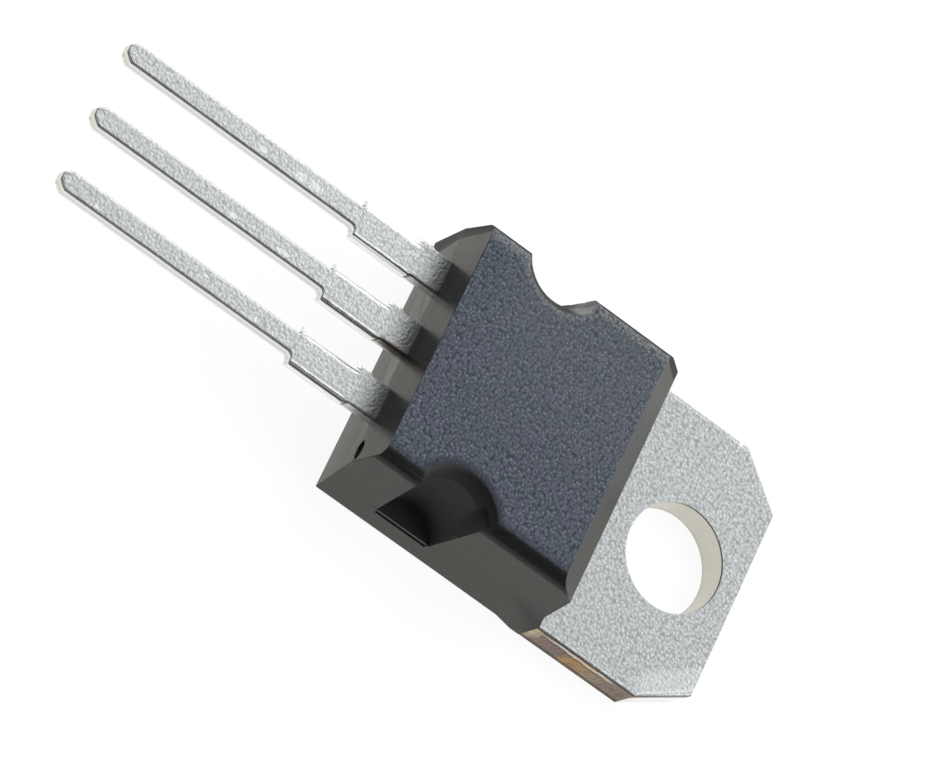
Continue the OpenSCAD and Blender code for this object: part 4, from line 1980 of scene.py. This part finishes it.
@dataclass
class MouldedBody:
    """The moulding, with its outer edges slightly broken."""

    node: str = "moulded_body"
    lead_end: float = -12.6
    tab_end: float = TAB_FOOT_Y
    edge: float = 0.035
    sharp: float = math.radians(22.0)
    shortest: float = 0.05
    upright: float = 0.9
    # The cavity: its sides, its top and its end beside the neck
    cavity_half: float = 4.1
    cavity_top: float = 4.4
    neck_end: float = -4.6
    # Where the outer edges stay sharp
    tab_slot_top: float = 2.0
    step_top: float = 1.3
    step_side: float = 3.5
    lead_window: tuple[float, float] = (2.4, 3.2)
    lead_half: float = 3.4
    gate: tuple[float, float] = (3.8, 4.7)
    gate_above: float = 2.6

    def _inside(self, face: bmesh.types.BMFace) -> bool:
        """Says whether a face lines the cavity around the metal parts.

        Args:
            face: The face.

        Returns:
            True for faces that the metal covers.
        """
        centre, normal = face.calc_center_median(), face.normal
        if normal.z < -self.upright and centre.z > 0.05:
            return True
        if normal.y > self.upright and centre.y < self.neck_end:
            return True
        if normal.y < -self.upright and centre.y > self.lead_end + 0.6:
            return True
        within = self.lead_end + 0.5 < centre.y < self.tab_end - 0.3 and abs(centre.x) < self.cavity_half
        on_back = abs(normal.z) > self.upright and centre.z < 0.02
        return within and centre.z < self.cavity_top and not on_back

    def _broken(self, edge: bmesh.types.BMEdge) -> bool:
        """Says whether an edge is a sharp outer edge of the moulding.

        Args:
            edge: The edge.

        Returns:
            True for edges that get rounded.
        """
        if edge.calc_face_angle(0.0) < self.sharp or edge.calc_length() < self.shortest:
            return False
        if any(self._inside(face) for face in edge.link_faces):
            return False
        x, y, z = (edge.verts[0].co + edge.verts[1].co) / 2
        by_tab = y > self.tab_end - 1.4 and z < self.tab_slot_top
        by_step = 0.05 < z < self.step_top and abs(y - NOTCH_Y) < 1.4 and abs(x) > self.step_side
        by_leads = (
            y < self.lead_end + 0.55 and self.lead_window[0] < z < self.lead_window[1]
            and abs(x) < self.lead_half
        )
        by_gate = y < self.lead_end + 0.3 and z > self.gate_above and self.gate[0] < x < self.gate[1]
        return not (by_tab or by_step or by_leads or by_gate)

    def build(self, compound: bpy.types.Material) -> bpy.types.Object:
        """Builds and dresses the moulding.

        Args:
            compound: The moulding's material.

        Returns:
            The finished piece.
        """
        blank = Blank()
        blank.take_node(self.node)
        broken = blank.break_edges(self.edge, 2, self._broken)
        LOG.info("moulded body: %d edges broken", broken)
        made = blank.finish("body_moulding", [compound], smooth_to=28.0)
        settle(made, self.node)
        return made


@dataclass
class ChipAndBonds:
    """The sealed chip, its solder and its wires: carried-over solids with finishes."""

    solder: PlainMetal = PlainMetal("die_solder_alloy", (0.42, 0.43, 0.45, 1.0), 0.34)
    silicon: PlainMetal = PlainMetal("silicon_face", (0.09, 0.10, 0.13, 1.0), 0.16, 0.35)
    wire: PlainMetal = PlainMetal("aluminium_wire", (0.80, 0.80, 0.81, 1.0), 0.28)

    def build(self, effects: Effects) -> None:
        """Dresses the inner solids.

        Args:
            effects: The shared groups.
        """
        wire = self.wire.build(effects)
        finishes = {
            "die_solder": self.solder.build(effects), "silicon_die": self.silicon.build(effects),
            "base_wire": wire, "emitter_wire": wire,
        }
        for node, material in finishes.items():
            frame["nodes"][node].material_slots[0].material = material
            LOG.info("%s: dressed with %s", node, material.name)


# --------------------------------------------------------------------------
# Studio
# --------------------------------------------------------------------------


@dataclass
class Studio:
    """White table, soft light from above and the camera, in metres."""

    eye: Vec3 = (0.09403780463, -0.08626305407, 0.18683483928)
    right: Vec3 = (-0.39422925469587305, 0.760291867540018, 0.5162747048756581)
    down: Vec3 = (0.8138643425693314, 0.5497565533170307, -0.18812911518201703)
    ahead: Vec3 = (-0.4268584386375959, 0.3460115724040025, -0.8355045572146109)
    focal_px: float = 6741.880114517945
    width_px: int = 938
    sensor: float = 36.0
    nearest: float = 0.005
    farthest: float = 10.0
    table_half: float = 1.2
    table_gap: float = 0.00002
    cloth: Colour = (0.80, 0.80, 0.795, 1.0)
    dim: Colour = (0.12, 0.12, 0.12, 1.0)
    plain_white: Colour = (1.0, 1.0, 1.0, 1.0)
    mirrored_white: Colour = (0.97, 0.96, 0.91, 1.0)
    table_glow: float = 0.92
    wall: Colour = (1.24, 1.28, 1.28, 1.0)
    shade: Colour = (0.11, 0.115, 0.125, 1.0)
    wall_way: tuple[float, float] = (-0.65, 0.76)
    wall_side: tuple[float, float] = (0.05, 0.55)
    wall_top: tuple[float, float] = (0.92, 0.80)
    front: Colour = (0.80, 0.81, 0.82, 1.0)
    front_way: tuple[float, float] = (0.53, -0.85)
    front_side: tuple[float, float] = (0.62, 0.9)
    front_top: tuple[float, float] = (0.45, 0.3)
    fill_place: Vec3 = (-0.2, 0.16, 0.7)
    fill_width: float = 0.8
    fill_power: float = 3.4

    def camera(self) -> None:
        """Sets the camera from its place and its three axes."""
        data = bpy.data.cameras.new("camera")
        data.sensor_width = self.sensor
        data.sensor_fit = "HORIZONTAL"
        data.lens = self.focal_px / self.width_px * self.sensor
        data.clip_start, data.clip_end = self.nearest, self.farthest
        made = bpy.data.objects.new("camera", data)
        bpy.context.scene.collection.objects.link(made)
        up, back = [-part for part in self.down], [-part for part in self.ahead]
        turn = Matrix((self.right, up, back)).transposed()
        made.matrix_world = Matrix.Translation(self.eye) @ turn.to_4x4()
        bpy.context.scene.camera = made

    def table(self) -> None:
        """Makes the white table, which the camera and reflections see as white."""
        work = bmesh.new()
        side = self.table_half
        corners = [(-side, -side), (side, -side), (side, side), (-side, side)]
        work.faces.new([work.verts.new((x, y, -self.table_gap)) for x, y in corners])
        mesh = bpy.data.meshes.new("table")
        work.to_mesh(mesh)
        work.free()
        material = bpy.data.materials.new("white_table")
        material.use_nodes = True
        tree = material.node_tree
        tree.nodes.clear()
        graph = Graph(tree)
        rays = graph.add("ShaderNodeLightPath")
        mirrored = graph.most(rays.outputs["Is Glossy Ray"], rays.outputs["Is Transmission Ray"])
        seen = graph.most(rays.outputs["Is Camera Ray"], mirrored)
        cloth = graph.add("ShaderNodeBsdfDiffuse", {"Color": self.cloth})
        shadow = graph.add("ShaderNodeBsdfDiffuse", {"Color": self.dim})
        tint = graph.mix(mirrored, self.plain_white, self.mirrored_white)
        glow = graph.add("ShaderNodeEmission", {"Color": tint, "Strength": self.table_glow})
        white = graph.add("ShaderNodeAddShader", {0: shadow.outputs[0], 1: glow.outputs[0]})
        both = graph.add("ShaderNodeMixShader", {0: seen, 1: cloth.outputs[0], 2: white.outputs[0]})
        output = graph.add("ShaderNodeOutputMaterial")
        tree.links.new(both.outputs[0], output.inputs[0])
        material.cycles.emission_sampling = "NONE"
        mesh.materials.append(material)
        made = bpy.data.objects.new("table", mesh)
        bpy.context.scene.collection.objects.link(made)

    def light(self) -> None:
        """Sets the soft sky and one wide lamp overhead."""
        world = bpy.data.worlds.new("soft_sky")
        bpy.context.scene.world = world
        world.use_nodes = True
        tree = world.node_tree
        tree.nodes.clear()
        graph = Graph(tree)
        x, y, z = graph.parts(graph.add("ShaderNodeTexCoord").outputs["Generated"])
        flat = graph.math("SQRT", graph.plus(graph.times(x, x), graph.times(y, y)))
        flat = graph.most(flat, 0.001)
        rays = graph.add("ShaderNodeLightPath")
        walls = []
        for way, side, top in (
            (self.wall_way, self.wall_side, self.wall_top),
            (self.front_way, self.front_side, self.front_top),
        ):
            along = graph.plus(graph.times(x, way[0]), graph.times(y, way[1]))
            turned = graph.ramp(graph.math("DIVIDE", along, flat), *side)
            walls.append(graph.times(turned, graph.ramp(z, *top)))
        sky = graph.mix(walls[0], self.shade, self.wall)
        # A second pale wall in front shows in reflections only
        sky = graph.mix(graph.times(walls[1], rays.outputs["Is Glossy Ray"]), sky, self.front)
        colour = graph.mix(rays.outputs["Is Camera Ray"], sky, self.plain_white)
        backdrop = graph.add("ShaderNodeBackground", {"Color": colour, "Strength": 1.0})
        output = graph.add("ShaderNodeOutputWorld")
        tree.links.new(backdrop.outputs[0], output.inputs[0])
        data = bpy.data.lights.new("overhead", "AREA")
        data.shape, data.size = "DISK", self.fill_width
        data.energy = self.fill_power
        lamp = bpy.data.objects.new("overhead", data)
        bpy.context.scene.collection.objects.link(lamp)
        lamp.location = self.fill_place
        lamp.rotation_euler = Vector(self.fill_place).to_track_quat("Z", "Y").to_euler()
        lamp.visible_glossy = False

    def build(self) -> None:
        """Builds the whole studio."""
        self.camera()
        self.table()
        self.light()
        bpy.context.scene.view_settings.view_transform = "Standard"
        LOG.info("studio: camera, table and lights set")


# --------------------------------------------------------------------------
# Whole part
# --------------------------------------------------------------------------


@dataclass
class PowerTransistor:
    """The whole part, built from its sub-assemblies in order."""

    pitch: float = PITCH
    tab_cream: tuple[float, float] = (0.8, 1.2)
    tab_line: float = 0.32
    ridge_sides: tuple[tuple[str, int], ...] = (("ridges_right", 1), ("ridges_left", -1))

    def build(self) -> None:
        """Builds every piece and dresses it."""
        effects = Effects()
        tin, lead_tin = MattTin().build(effects), LeadTin().build(effects)
        copper = ShearedCopper().build(effects)
        compound = MouldingCompound().build(effects)
        tab_side = ShearedTin("cut_tab_side", 0.0, TAB_FRONT, *self.tab_cream, line=self.tab_line)
        tab_cut = tab_side.build(effects)
        lead_cut = ShearedLeadSide().build(effects)
        HeatTab().build({
            TabFinish.PLATED: tin, TabFinish.COPPER: copper, TabFinish.CUT_TAB: tab_cut,
            TabFinish.CUT_LEAD: lead_cut, TabFinish.HOLE: PunchedWall().build(effects),
            TabFinish.PLATED_LEAD: lead_tin,
        })
        OuterLead("base_lead", -self.pitch).build(lead_tin, lead_cut)
        OuterLead("emitter_lead", self.pitch).build(lead_tin, lead_cut)
        MouldedBody().build(compound)
        ridges = ShearRidges()
        tree = ridges.tree()
        for name, side in self.ridge_sides:
            ridges.build(tree, name, side, copper)
        ChipAndBonds().build(effects)


def main() -> None:
    """Builds the studio and the part, and reports each piece."""
    logging.basicConfig(level=logging.INFO, format="%(name)s: %(message)s")
    Studio().build()
    PowerTransistor().build()


if __name__ == "__main__":
    main()
